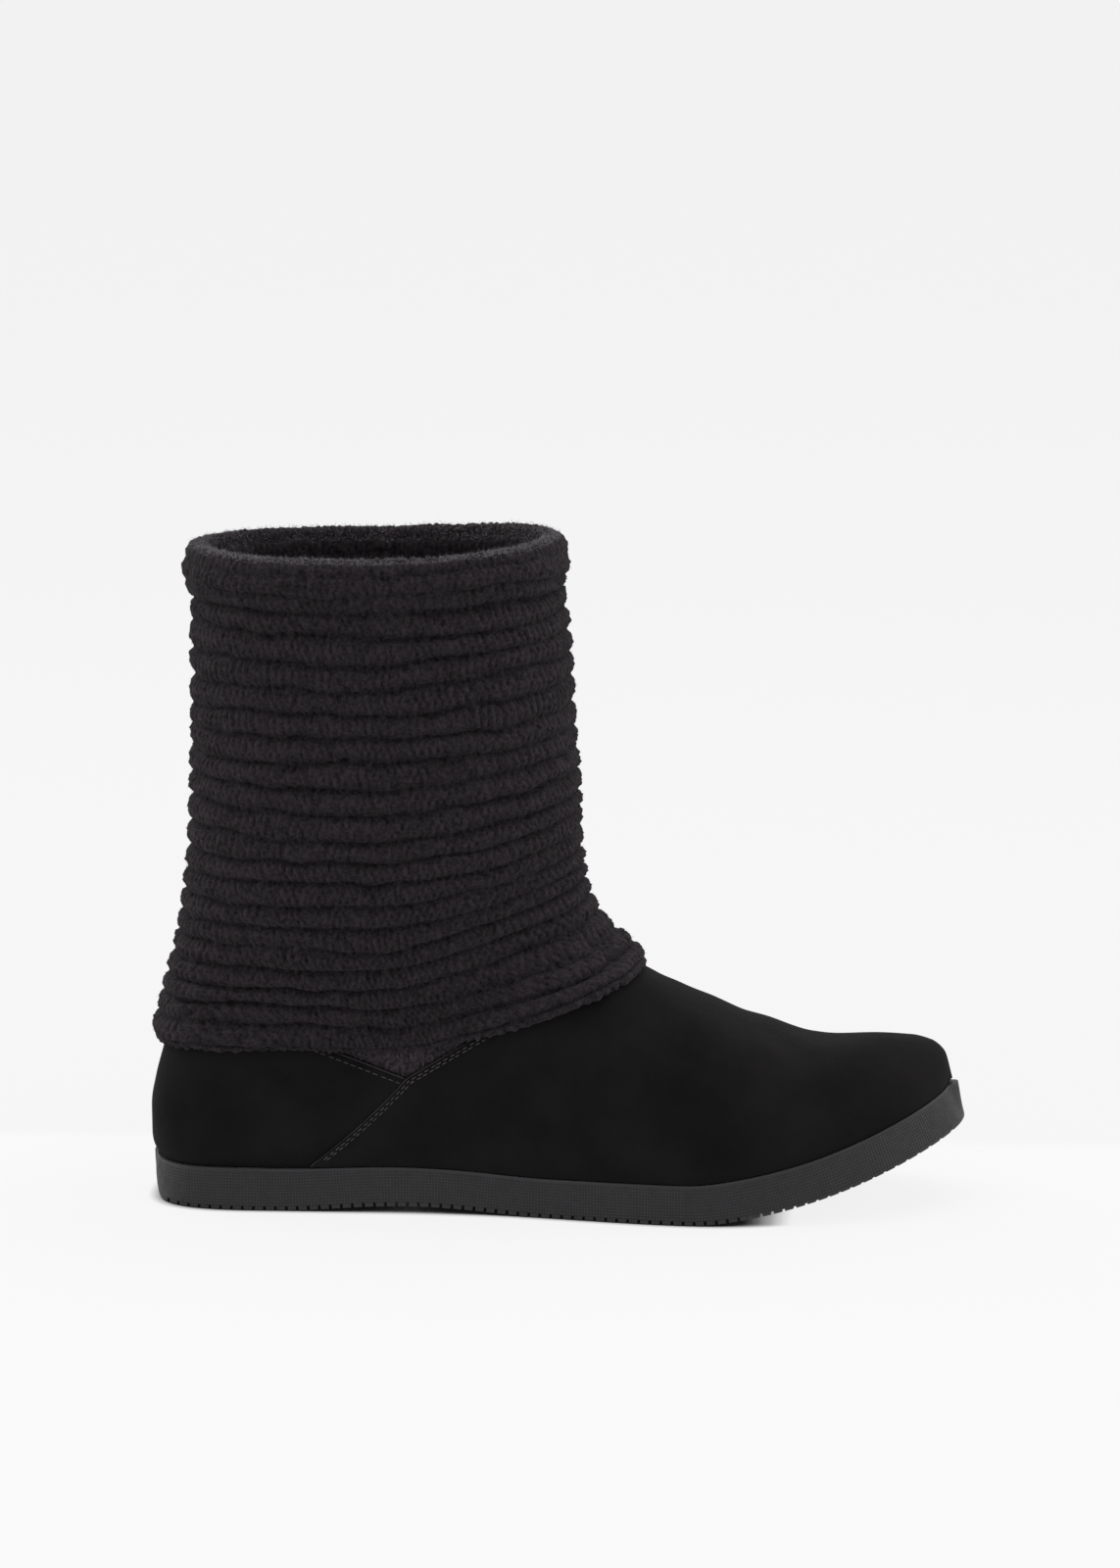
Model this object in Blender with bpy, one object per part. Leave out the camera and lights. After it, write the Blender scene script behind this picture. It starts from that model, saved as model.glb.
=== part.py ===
"""Winter boot, right foot: suede foot, knitted shaft turned down outside it, and a one-piece rubber sole.

Metres. The toe points along +X, the outer side of the foot along -Y and up is +Z. The origin is on the floor,
under the middle of the heel. "Share" is a part of the sole's length, 0 at the back of the heel and 1 at the toe.
"""

import math

import bmesh
import bpy
import numpy as np
from mathutils import Vector
from mathutils.bvhtree import BVHTree

MM = 0.001
CLEARANCE = 0.3 * MM

# Sole, seen from above
SOLE_LENGTH = 267.4 * MM
HEEL_BEHIND_ORIGIN = 0.1279 * SOLE_LENGTH
HEEL_WIDTH = 65.0 * MM
WAIST_WIDTH = 62.0 * MM
BALL_WIDTH = 93.0 * MM
TOE_WIDTH = 86.0 * MM
HEEL_ROUND = 36.0 * MM
TOE_ROUND = 68.0 * MM
INSTEP_SWING = 5.0 * MM
TOE_SWING = 4.0 * MM
HEEL_FULLNESS = 2.9
TOE_FULLNESS = 2.15

# Sole, seen from the side
SOLE_AT_HEEL = 14.2 * MM
SOLE_AT_WAIST = 12.9 * MM
SOLE_AT_BALL = 13.3 * MM
SOLE_AT_TOE = 12.4 * MM
ARCH_LIFT = 2.3 * MM
TOE_SPRING = 27.0 * MM
SPRING_SWEEP = 1.6
HEEL_LIFT = 1.0 * MM
HEEL_FLAT = (0.055, 0.15)
BALL_FLAT = (0.50, 0.665)
HEEL_UNDERCUT = 2.4 * MM
EDGE_ROUND = 0.7 * MM
GROOVE_PITCH = 3.6 * MM
GROOVE_WIDTH = 1.1 * MM
GROOVE_DEPTH = 1.2 * MM
GROOVES_SPAN = (0.02, 0.985)

# Insole
INSOLE_THICKNESS = 3.5 * MM
INSOLE_CLEARANCE = 1.2 * MM

# Suede upper
SUEDE = 1.6 * MM
VAMP_STEP = 0.8 * MM
SOLE_LEDGE = 0.5 * MM
TOE_BOX_HEIGHT = 53.4 * MM
INSTEP_HEIGHT = 82.0 * MM
ANKLE_HEIGHT = 108.0 * MM
SEAM_FOOT_SHARE = 0.2008
SEAM_FOOT_HEIGHT = 14.0 * MM
SEAM_TOP_SHARE = 0.3224
SEAM_TOP_HEIGHT = 44.4 * MM
VAMP_EDGE_LIFT = 0.5 * MM
QUARTER_END = 0.01
VAMP_END = 0.05
SEAM_BOW = 1.2 * MM
QUARTER_RISE = 0.37
THROAT_RISE = 0.62

# Knitted shaft, with its turned-down cuff
KNIT = 2.4 * MM
RIDGE = 1.2 * MM
RIDGES = 19
ROLL = 14.0 * MM
ROLL_BULGE = 2.2 * MM
SHAFT_LENGTH = 0.4562 * SOLE_LENGTH
SHAFT_WIDTH = 104.0 * MM
SHAFT_BACK = HEEL_BEHIND_ORIGIN - 0.0531 * SOLE_LENGTH
RIM_HEIGHT = 214.8 * MM
RIM_RISE = 2.6 * MM
HEM_HEIGHT = 52.8 * MM
HEM_RISE = 26.0 * MM
HEM_SWEEP = 1.35
LAYER_GAP = 1.0 * MM
KNIT_CLEARANCE = 1.0 * MM
LYING_SOFTNESS = 1.0 * MM
MOST_LEAN = 2.4
SEWN_LAP = 8.0 * MM
LAYERS_PART = 22.0 * MM
CLEAR_ABOVE_COLLAR = 14.0 * MM
COLLAR_MARGIN = 4.0 * MM
KNIT_FULLNESS = 2.2

# Facets
SOLE_POINTS = 72
UPPER_STATIONS = 30
UPPER_ARCH = 16
SETTLING_STEPS = 5
KNIT_COLUMNS = 36
CUTTER_REACH = 90.0 * MM
WELD_DISTANCE = 0.01 * MM

# Each row is one section of the suede foot, from heel to toe: where it stands on the sole (share), how far its
# top lies along the sole (share), how high its top is (share of the rise named), and how square its arch is.
HEEL_SECTIONS = (
    # base   along   rise    squareness
    (0.000, 0.000, 0.000, 2.0),
    (0.008, -0.003, 0.065, 2.0),
    (0.020, -0.003, 0.160, 2.1),
    (0.040, 0.002, 0.255, 2.2),
    (0.065, 0.011, 0.355, 2.3),
    (0.090, 0.021, 0.455, 2.5),
    (0.115, 0.032, 0.570, 2.7),
    (0.140, 0.044, 0.700, 2.9),
    (0.175, 0.060, 0.850, 3.1),
    (0.220, 0.100, 0.955, 3.3),
    (0.300, 0.210, 1.000, 3.4),
    (0.400, 0.320, 1.000, 3.3),
    (0.480, 0.405, 0.965, 3.0),
)
INSTEP_SECTIONS = (
    # base   along   rise    squareness
    (0.540, 0.465, 1.540, 2.75),
    (0.580, 0.510, 1.230, 2.55),
    (0.620, 0.560, 1.000, 2.45),
    (0.670, 0.612, 0.755, 2.35),
    (0.745, 0.681, 0.445, 2.3),
    (0.820, 0.753, 0.185, 2.3),
    (0.875, 0.809, 0.005, 2.3),
    (0.905, 0.838, -0.020, 2.3),
)
TOE_SECTIONS = (
    # base   along   rise    squareness
    (0.945, 0.894, 1.000, 2.3),
    (0.970, 0.932, 0.985, 2.2),
    (0.985, 0.956, 0.890, 2.1),
    (0.994, 0.973, 0.640, 2.0),
    (1.000, 0.983, 0.000, 2.0),
)

# Each row is one level of the cuff, from the rim down to the hem. Heights are shares of the way from the rim to
# the hem at the back and at the front, reaches are shares of the shaft's length added behind and in front, and
# the width is a share of the shaft's width.
CUFF_LEVELS = (
    # level  back   front  behind  ahead   width
    (0.00, 0.000, 0.000, 0.000, -0.016, 1.00),
    (0.10, 0.109, 0.118, -0.002, 0.006, 1.00),
    (0.30, 0.328, 0.352, 0.003, 0.029, 1.00),
    (0.50, 0.540, 0.580, 0.012, 0.040, 0.98),
    (0.60, 0.637, 0.678, 0.027, 0.045, 0.95),
    (0.71, 0.742, 0.774, 0.045, 0.056, 0.90),
    (0.80, 0.825, 0.852, 0.063, 0.086, 0.84),
    (0.87, 0.888, 0.911, 0.082, 0.131, 0.79),
    (0.94, 0.945, 0.957, 0.093, 0.190, 0.75),
    (1.00, 1.000, 1.000, 0.101, 0.215, 0.72),
)

# Colours
SUEDE_BLACK = (0.0095, 0.0090, 0.0098)
KNIT_BLACK = (0.0150, 0.0130, 0.0145)
RUBBER_GREY = (0.0330, 0.0315, 0.0340)
INSOLE_BLACK = (0.0120, 0.0110, 0.0120)


def clear_scene():
    for thing in list(bpy.data.objects):
        bpy.data.objects.remove(thing)


def new_collection(name):
    made = bpy.data.collections.new(name)
    bpy.context.scene.collection.children.link(made)
    return made


def material(name, colour, roughness):
    made = bpy.data.materials.new(name)
    made.use_nodes = True
    shader = made.node_tree.nodes["Principled BSDF"]
    shader.inputs["Base Color"].default_value = (*colour, 1.0)
    shader.inputs["Roughness"].default_value = roughness
    shader.inputs["Metallic"].default_value = 0.0
    return made


def smooth_curve(places, values):
    """A curve through the values with no overshoot: a monotone cubic."""
    x, y = np.asarray(places, float), np.asarray(values, float)
    step = np.diff(x)
    slope = np.diff(y) / step
    tangent = np.zeros(len(x))
    tangent[0], tangent[-1] = slope[0], slope[-1]
    for i in range(1, len(x) - 1):
        if slope[i - 1] * slope[i] > 0:
            tangent[i] = 2 / (1 / slope[i - 1] + 1 / slope[i])

    def at(place):
        p = min(max(place, x[0]), x[-1])
        i = min(max(int(np.searchsorted(x, p, side="right")) - 1, 0), len(step) - 1)
        u = (p - x[i]) / step[i]
        start = y[i] * (1 + 2 * u) * (1 - u) ** 2 + tangent[i] * step[i] * u * (1 - u) ** 2
        end = y[i + 1] * u * u * (3 - 2 * u) + tangent[i + 1] * step[i] * u * u * (u - 1)
        return start + end

    return at


def ease(value):
    """0 below 0, 1 above 1, and a smooth step between."""
    u = min(max(value, 0.0), 1.0)
    return u * u * (3 - 2 * u)


def along(share):
    """How far along X a share of the sole's length lies."""
    return share * SOLE_LENGTH - HEEL_BEHIND_ORIGIN


half_width_at = smooth_curve(
    (0.0, 0.18, 0.40, 0.72, 0.82, 1.0),
    (HEEL_WIDTH / 2, HEEL_WIDTH / 2, WAIST_WIDTH / 2, BALL_WIDTH / 2, BALL_WIDTH / 2, TOE_WIDTH / 2),
)
swing_at = smooth_curve((0.0, 0.15, 0.50, 0.82, 1.0), (0.0, 0.0, -INSTEP_SWING, 0.0, TOE_SWING))
thickness_at = smooth_curve(
    (0.0, 0.12, 0.35, 0.70, 0.88, 1.0),
    (SOLE_AT_HEEL, SOLE_AT_HEEL, SOLE_AT_WAIST, SOLE_AT_BALL, (SOLE_AT_BALL + SOLE_AT_TOE) / 2, SOLE_AT_TOE),
)


def end_rounding(share):
    """The part of the full width that is left near the round heel and the round toe."""
    from_heel = share * SOLE_LENGTH / HEEL_ROUND
    from_toe = (1 - share) * SOLE_LENGTH / TOE_ROUND
    left = 1.0
    for distance, fullness in ((from_heel, HEEL_FULLNESS), (from_toe, TOE_FULLNESS)):
        if distance < 1:
            left *= max(0.0, 1 - (1 - distance) ** fullness) ** (1 / fullness)
    return left


def outline(turn, inset=0.0):
    """A point of the sole's outline from above, moved inwards. Half a turn is the outer side, heel to toe."""

    def plain(angle):
        share = (1 - math.cos(angle)) / 2
        side = -1 if math.sin(angle) > 0 else 1
        return np.array([along(share), swing_at(share) + side * half_width_at(share) * end_rounding(share)])

    nudge = 0.004
    tangent = plain(turn + nudge) - plain(turn - nudge)
    inwards = np.array([-tangent[1], tangent[0]]) / np.linalg.norm(tangent)
    return plain(turn) + inwards * inset


def share_of(x):
    """The share of the sole's length that lies behind this x."""
    return min(max((x + HEEL_BEHIND_ORIGIN) / SOLE_LENGTH, 0.0), 1.0)


def tread_height(x):
    """How high the bottom of the sole is above the floor."""
    share = share_of(x)
    if share < HEEL_FLAT[0]:
        return HEEL_LIFT * (1 - share / HEEL_FLAT[0]) ** 2
    if HEEL_FLAT[1] < share < BALL_FLAT[0]:
        return ARCH_LIFT * math.sin(math.pi * (share - HEEL_FLAT[1]) / (BALL_FLAT[0] - HEEL_FLAT[1])) ** 2
    if share > BALL_FLAT[1]:
        return TOE_SPRING * ((share - BALL_FLAT[1]) / (1 - BALL_FLAT[1])) ** SPRING_SWEEP
    return 0.0


def on_sole(x, y, up):
    """The point that lies this far up through the sole, square to its curved bottom."""
    nudge = 0.5 * MM
    slope = (tread_height(x + nudge) - tread_height(x - nudge)) / (2 * nudge)
    lean = math.atan(slope)
    return Vector((x - up * math.sin(lean), y, tread_height(x) + up * math.cos(lean)))


def mesh_object(name, points, faces, collection, look=None):
    mesh = bpy.data.meshes.new(name)
    mesh.from_pydata([tuple(p) for p in points], [], faces)
    work = bmesh.new()
    work.from_mesh(mesh)
    bmesh.ops.remove_doubles(work, verts=work.verts, dist=0.001 * MM)
    bmesh.ops.dissolve_degenerate(work, edges=work.edges, dist=0.001 * MM)
    bmesh.ops.recalc_face_normals(work, faces=work.faces)
    work.to_mesh(mesh)
    work.free()
    made = bpy.data.objects.new(name, mesh)
    collection.objects.link(made)
    if look:
        mesh.materials.append(look)
        mesh.shade_smooth()
        mesh.set_sharp_from_angle(angle=math.radians(50))
    return made


def ring_faces(first, second, count):
    """Quads between two closed rings of points that start at these numbers."""
    return [(first + i, first + (i + 1) % count, second + (i + 1) % count, second + i) for i in range(count)]


def across_faces(start, count):
    """Quads across a ring that starts at the heel, each from the outer side to the inner side."""
    half = count // 2
    quads = [(start + i, start + i + 1, start + count - i - 1, start + count - i) for i in range(1, half - 1)]
    heel = (start, start + 1, start + count - 1)
    toe = (start + half - 1, start + half, start + half + 1)
    return [heel, *quads, toe]


def slab(name, levels, collection, look):
    """A solid in the shape of the sole. Each level is (height above the tread, inset), functions of the share."""
    points, faces = [], []
    for height, inset in levels:
        for i in range(SOLE_POINTS):
            turn = 2 * math.pi * i / SOLE_POINTS
            share = (1 - math.cos(turn)) / 2
            x, y = outline(turn, inset(share))
            points.append(on_sole(x, y, height(share_of(x))))
    for level in range(len(levels) - 1):
        faces += ring_faces(level * SOLE_POINTS, (level + 1) * SOLE_POINTS, SOLE_POINTS)
    faces += across_faces(0, SOLE_POINTS)
    faces += across_faces((len(levels) - 1) * SOLE_POINTS, SOLE_POINTS)
    return mesh_object(name, points, faces, collection, look)


def boolean(target, cutter, operation):
    step = target.modifiers.new(cutter.name, "BOOLEAN")
    step.operation = operation
    step.solver = "EXACT"
    step.object = cutter
    cutter.hide_render = True
    cutter.display_type = "WIRE"


def tread_cutter(collection):
    """One bar for each groove across the tread, square to the curved bottom."""
    points, faces = [], []
    low, high = along(GROOVES_SPAN[0]), along(GROOVES_SPAN[1])
    first = math.ceil(low / GROOVE_PITCH - 0.5)
    last = math.floor(high / GROOVE_PITCH - 0.5)
    for number in range(first, last + 1):
        middle = (number + 0.5) * GROOVE_PITCH
        start = len(points)
        bottom, top = on_sole(middle, 0, -GROOVE_DEPTH), on_sole(middle, 0, GROOVE_DEPTH)
        ahead = (on_sole(middle + MM, 0, 0) - on_sole(middle - MM, 0, 0)).normalized() * GROOVE_WIDTH / 2
        for y in (-CUTTER_REACH, CUTTER_REACH):
            for corner in (bottom - ahead, bottom + ahead, top + ahead, top - ahead):
                points.append(corner + Vector((0, y, 0)))
        faces += [tuple(start + i for i in (3, 2, 1, 0)), tuple(start + i for i in (4, 5, 6, 7))]
        faces += ring_faces(start, start + 4, 4)
    return mesh_object("tread_cutter", points, faces, collection)


def make_outsole(collection, cutters, look):
    def undercut(share):
        return HEEL_UNDERCUT * (1 - ease(share / HEEL_FLAT[1])) + EDGE_ROUND / 2 * ease(share / HEEL_FLAT[1])

    levels = (
        (lambda s: 0.0, lambda s: undercut(s) + EDGE_ROUND),
        (lambda s: EDGE_ROUND, undercut),
        (lambda s: thickness_at(s) - EDGE_ROUND, lambda s: 0.0),
        (thickness_at, lambda s: EDGE_ROUND),
    )
    sole = slab("outsole", levels, collection, look)
    boolean(sole, tread_cutter(cutters), "DIFFERENCE")
    return sole


def make_insole(collection, look):
    edge = SOLE_LEDGE + VAMP_STEP + SUEDE + INSOLE_CLEARANCE

    def bottom(share):
        return thickness_at(share) + CLEARANCE

    def top(share):
        return bottom(share) + INSOLE_THICKNESS

    def tuck(share):
        """The toe end is drawn in, under the low front of the toe box."""
        return edge + 2 * INSOLE_THICKNESS * ease((share - 0.9) / 0.1)

    levels = (
        (bottom, tuck),
        (lambda s: top(s) - EDGE_ROUND, tuck),
        (top, lambda s: tuck(s) + EDGE_ROUND),
    )
    return slab("insole", levels, collection, look)


def top_line():
    """The foot's top line and squareness as curves of the share where each section stands."""
    rows = []
    heel_foot = thickness_at(0.0) + CLEARANCE + tread_height(along(0.0))
    toe_foot = on_sole(along(1.0), 0, thickness_at(1.0) + CLEARANCE)
    for base, forward, rise, square in HEEL_SECTIONS:
        rows.append((base, along(forward), heel_foot + rise * (ANKLE_HEIGHT - heel_foot), square))
    for base, forward, rise, square in INSTEP_SECTIONS:
        rows.append((base, along(forward), TOE_BOX_HEIGHT + rise * (INSTEP_HEIGHT - TOE_BOX_HEIGHT), square))
    for base, forward, rise, square in TOE_SECTIONS:
        rows.append((base, along(forward), toe_foot.z + rise * (TOE_BOX_HEIGHT - toe_foot.z), square))
    base, x, z, square = zip(*rows)
    return smooth_curve(base, x), smooth_curve(base, z), smooth_curve(base, square)


top_x, top_z, squareness = top_line()


def last_point(turn, rise, inset, lift):
    """A point of the foot's skin, this far inside the vamp's face and with its edge this far above the sole.

    turn goes round the sole's outline, and rise from 0 at the sole to 1 at the top.
    """
    share = (1 - math.cos(turn)) / 2
    near, far = (outline(side * turn, SOLE_LEDGE + inset) for side in (1, -1))
    height = thickness_at(share_of(near[0])) + CLEARANCE + lift
    foot_near, foot_far = on_sole(*near, height), on_sole(*far, height)
    middle = (foot_near + foot_far) / 2
    nudge = 0.003
    before, after = max(share - nudge, 0), min(share + nudge, 1)
    run, climb = top_x(after) - top_x(before), top_z(after) - top_z(before)
    length = math.hypot(run, climb)
    top = Vector((top_x(share) + inset * climb / length, middle.y, top_z(share) - inset * run / length))
    power = 2 / squareness(share)
    angle = rise * math.pi / 2
    sideways, upwards = math.cos(angle) ** power if rise < 1 else 0.0, math.sin(angle) ** power
    return middle + (foot_near - middle) * sideways + (top - middle) * upwards


def last_skin(inset, lift=0.0, end=QUARTER_END):
    """Rows of points over the foot, each an arch from the outer side to the inner side, heel to toe.

    The first and last rows stand this far round the outline from its tips, in radians.
    """
    rows = []
    for station in range(UPPER_STATIONS + 1):
        turn = math.pi * station / UPPER_STATIONS
        turn = min(max(turn, end), math.pi - end)
        row = []
        for i in range(UPPER_ARCH + 1):
            rise = 1 - abs(1 - 2 * i / UPPER_ARCH)
            side = 1 if 2 * i < UPPER_ARCH else -1
            row.append(last_point(side * turn, rise, inset, lift))
        rows.append(row)
    return rows


def shell(name, outer, inner, collection, look=None):
    """The closed wall between two skins: both skins, the strip under their edges and the two ends."""
    columns, rows = UPPER_ARCH + 1, UPPER_STATIONS + 1
    points = [p for skin in (outer, inner) for row in skin for p in row]
    second = columns * rows
    faces = []
    for r in range(rows - 1):
        for c in range(columns - 1):
            a = r * columns + c
            quad = (a, a + 1, a + columns + 1, a + columns)
            faces += [quad, tuple(second + i for i in reversed(quad))]
        for edge in (r * columns, r * columns + columns - 1):
            faces.append((edge, edge + columns, second + edge + columns, second + edge))
    for end in (0, (rows - 1) * columns):
        for c in range(columns - 1):
            a = end + c
            faces.append((a, a + 1, second + a + 1, second + a))
    return mesh_object(name, points, faces, collection, look)


def collar_height(x):
    """The top edge of the suede: a V that dips to the top of the seam on each side."""
    ahead_of_seam = x - along(SEAM_TOP_SHARE)
    slope = THROAT_RISE if ahead_of_seam > 0 else -QUARTER_RISE
    return SEAM_TOP_HEIGHT + slope * ahead_of_seam


def side_prism(name, corners, collection):
    """A block with this outline from the side, right across the boot."""
    count = len(corners)
    points = [(x, y, z) for y in (-CUTTER_REACH, CUTTER_REACH) for x, z in corners]
    faces = [tuple(range(count)), tuple(reversed(range(count, 2 * count))), *ring_faces(0, count, count)]
    return mesh_object(name, points, faces, collection)


def make_upper(collection, cutters, look):
    quarter, lining = last_skin(VAMP_STEP), last_skin(VAMP_STEP + SUEDE)
    upper = shell("upper", quarter, lining, collection, look)
    vamp_skin = last_skin(0.0, VAMP_EDGE_LIFT, VAMP_END)
    vamp_core = last_skin(VAMP_STEP + SUEDE / 2, VAMP_EDGE_LIFT, VAMP_END)
    vamp = shell("vamp_form", vamp_skin, vamp_core, cutters)

    foot_x, foot_z = along(SEAM_FOOT_SHARE), SEAM_FOOT_HEIGHT
    point_x, point_z = along(SEAM_TOP_SHARE), SEAM_TOP_HEIGHT
    bow = ((foot_x + point_x) / 2 + SEAM_BOW, (foot_z + point_z) / 2 - SEAM_BOW)
    back, front = along(0.0) - CUTTER_REACH, along(1.0) + CUTTER_REACH
    above = max(collar_height(back), collar_height(front)) + CUTTER_REACH
    run, rise = point_x - foot_x, point_z - foot_z
    seam = (
        (foot_x - run, foot_z - rise),
        (front, foot_z - rise),
        (front, above),
        (point_x + run, above),
        (point_x + run, point_z + rise),
        (point_x, point_z),
        bow,
        (foot_x, foot_z),
    )
    boolean(vamp, side_prism("seam_cutter", seam, cutters), "INTERSECT")
    boolean(upper, vamp, "UNION")

    collar = (
        (back, above),
        (back, collar_height(back)),
        (point_x, collar_height(point_x)),
        (front, collar_height(front)),
        (front, above),
    )
    boolean(upper, side_prism("collar_cutter", collar, cutters), "DIFFERENCE")
    weld = upper.modifiers.new("weld", "WELD")
    weld.merge_threshold = WELD_DISTANCE
    return upper


def skin_tree(inset):
    """The foot's skin as something to measure to, closed over the ankle."""
    rows = last_skin(inset)
    columns = UPPER_ARCH + 1
    points = [p for row in rows for p in row]
    faces = [
        (r * columns + c, r * columns + c + 1, (r + 1) * columns + c + 1, (r + 1) * columns + c)
        for r in range(UPPER_STATIONS)
        for c in range(columns - 1)
    ]
    return BVHTree.FromPolygons(points, faces)


def reach_to_skin(tree, x, z, angle, stand_off):
    """How far out from the boot's middle plane the foot's skin lies, and that stand-off square to it."""
    way = Vector((math.cos(angle), math.sin(angle), 0))
    hit, normal, _, distance = tree.ray_cast(Vector((x, 0, z)), way)
    if hit is None:
        return 0.0
    return distance + stand_off / max(abs(normal.dot(way)), 0.35)


level_columns = list(zip(*CUFF_LEVELS))
drop_back, drop_front, behind, ahead, width_share = (
    smooth_curve(level_columns[0], column) for column in level_columns[1:]
)


def cuff_reach(tree, level, angle):
    """Centre, reach and height of the cuff's ridge tops, at a level from rim to hem and an angle round the leg.

    Near the hem the cuff lies on the suede and no closer.
    """
    top, fall = RIM_HEIGHT - ROLL, RIM_HEIGHT - ROLL - HEM_HEIGHT
    back_z = top - drop_back(level) * fall
    front_z = top + RIM_RISE - drop_front(level) * (fall + RIM_RISE - HEM_RISE)
    low_x = -SHAFT_BACK - behind(level) * SHAFT_LENGTH
    high_x = -SHAFT_BACK + SHAFT_LENGTH * (1 + ahead(level))
    middle, half_length = (low_x + high_x) / 2, (high_x - low_x) / 2
    half_width = SHAFT_WIDTH * width_share(level) / 2
    c, s = abs(math.cos(angle)), abs(math.sin(angle))
    reach = ((c / half_length) ** KNIT_FULLNESS + (s / half_width) ** KNIT_FULLNESS) ** (-1 / KNIT_FULLNESS)
    loose, out = reach, reach
    for _ in range(SETTLING_STEPS):
        forward = min(max(math.cos(angle) * out / half_length, 0.0), 1.0)
        z = back_z + (front_z - back_z) * forward**HEM_SWEEP
        lying = reach_to_skin(tree, middle, z, angle, KNIT_CLEARANCE + KNIT + RIDGE)
        soft_loose, soft_lying = math.exp(loose / LYING_SOFTNESS), math.exp(lying / LYING_SOFTNESS)
        over_suede = LYING_SOFTNESS * math.log(soft_loose + soft_lying)
        above = z - collar_height(middle + loose * math.cos(angle)) - COLLAR_MARGIN
        settled = loose + (over_suede - loose) * (1 - ease(above / CLEAR_ABOVE_COLLAR))
        out = (out + settled) / 2
    return middle, settled, z


def cuff_point(tree, level, angle, depth):
    """A point of the cuff this far inside its ridge tops, square to them."""
    nudge = 0.02
    _, reach_up, z_up = cuff_reach(tree, max(level - nudge, 0.0), angle)
    _, reach_down, z_down = cuff_reach(tree, min(level + nudge, 1.0), angle)
    lean = min(math.hypot(reach_down - reach_up, z_up - z_down) / (z_up - z_down), MOST_LEAN)
    middle, reach, z = cuff_reach(tree, level, angle)
    reach -= depth * lean
    return Vector((middle + reach * math.cos(angle), reach * math.sin(angle), z))


def collar_point(tree, angle, above):
    """A point just inside the suede, this far above its collar edge."""
    middle = along(SEAM_TOP_SHARE)
    near, far = 0.0, SOLE_LENGTH
    for _ in range(24):
        out = (near + far) / 2
        x = middle + out * math.cos(angle)
        z = collar_height(x) + above
        if reach_to_skin(tree, middle, z, angle, -VAMP_STEP - SUEDE - KNIT_CLEARANCE) > out:
            near = out
        else:
            far = out
    return Vector((x, out * math.sin(angle), z))


def inner_layer_point(tree, down, angle, depth):
    """A point of the knit inside the cuff. down is 0 under the rim and 1 at the collar, and past 1 in the lap."""
    outwards = Vector((math.cos(angle), math.sin(angle), 0))
    collar = collar_point(tree, angle, 0.0)
    if down > 1:
        point = collar_point(tree, angle, -SEWN_LAP * (down - 1))
    else:
        rim = cuff_reach(tree, 0.0, angle)[2]
        z = rim + (collar.z - rim) * down
        levels = np.linspace(0, 1, 41)
        heights = [cuff_reach(tree, level, angle)[2] for level in levels]
        level = float(np.interp(-z, [-h for h in heights], levels))
        beside = cuff_point(tree, level, angle, RIDGE + KNIT + LAYER_GAP)
        beside.z = z
        point = beside.lerp(collar, ease(1 - (z - collar.z - COLLAR_MARGIN) / LAYERS_PART))
        point += outwards * min(0.0, (beside - point).dot(outwards))
        point.z = z
    return point - outwards * depth


def knit_profile(tree, angle):
    """The section of the knitted tube at this angle: up inside, over the rim, down outside and back."""
    loop = []
    inner_steps = (2.0, 1.5, 1.0, 0.96, 0.92, 0.88, 0.83, 0.76, 0.67, 0.55, 0.4, 0.2, 0.0)
    for down in inner_steps:
        loop.append(inner_layer_point(tree, down, angle, KNIT))
    rim_out, rim_in = cuff_point(tree, 0.0, angle, 0.0), loop[-1]
    outwards = Vector((math.cos(angle), math.sin(angle), 0))
    rim_out += outwards * ROLL_BULGE
    over, across = (rim_out + rim_in) / 2 + Vector((0, 0, ROLL / 2)), (rim_out - rim_in) / 2
    for degrees in (195, 165, 135, 105, 75, 45, 15, -15, -40):
        lean = math.radians(degrees)
        loop.append(over + across * math.cos(lean) + Vector((0, 0, ROLL / 2 * math.sin(lean))))
    for step in range(2 * RIDGES + 1):
        depth = RIDGE if step % 2 == 0 else 0.0
        loop.append(cuff_point(tree, step / (2 * RIDGES), angle, depth))
    for level in (1.0, 0.96, 0.92, 0.88, 0.84, 0.8, 0.75, 0.68, 0.58, 0.45, 0.25, 0.06):
        loop.append(cuff_point(tree, level, angle, RIDGE + KNIT))
    for down in reversed(inner_steps):
        loop.append(inner_layer_point(tree, down, angle, 0.0))
    return loop


def make_knit_shaft(collection, look):
    tree = skin_tree(0.0)
    columns = [knit_profile(tree, 2 * math.pi * i / KNIT_COLUMNS) for i in range(KNIT_COLUMNS)]
    count = len(columns[0])
    points = [p for column in columns for p in column]
    faces = []
    for column in range(KNIT_COLUMNS):
        faces += ring_faces(column * count, (column + 1) % KNIT_COLUMNS * count, count)
    return mesh_object("knit_shaft", points, faces, collection, look)


def main():
    clear_scene()
    boot = new_collection("winter_boot")
    cutters = new_collection("cutters")
    rubber = material("rubber", RUBBER_GREY, 0.62)
    make_outsole(boot, cutters, rubber)
    make_insole(boot, material("insole", INSOLE_BLACK, 0.9))
    make_upper(boot, cutters, material("suede", SUEDE_BLACK, 0.95))
    make_knit_shaft(boot, material("knit", KNIT_BLACK, 0.95))


main()
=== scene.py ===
"""The look of the winter boot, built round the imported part: suede, knit, rubber, floor, light and camera.

Metres. The toe points along +X, the outer side of the foot along -Y and up is +Z.
"""

import math

import bmesh
import bpy
import numpy as np
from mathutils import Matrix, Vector
from mathutils.bvhtree import BVHTree


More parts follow.
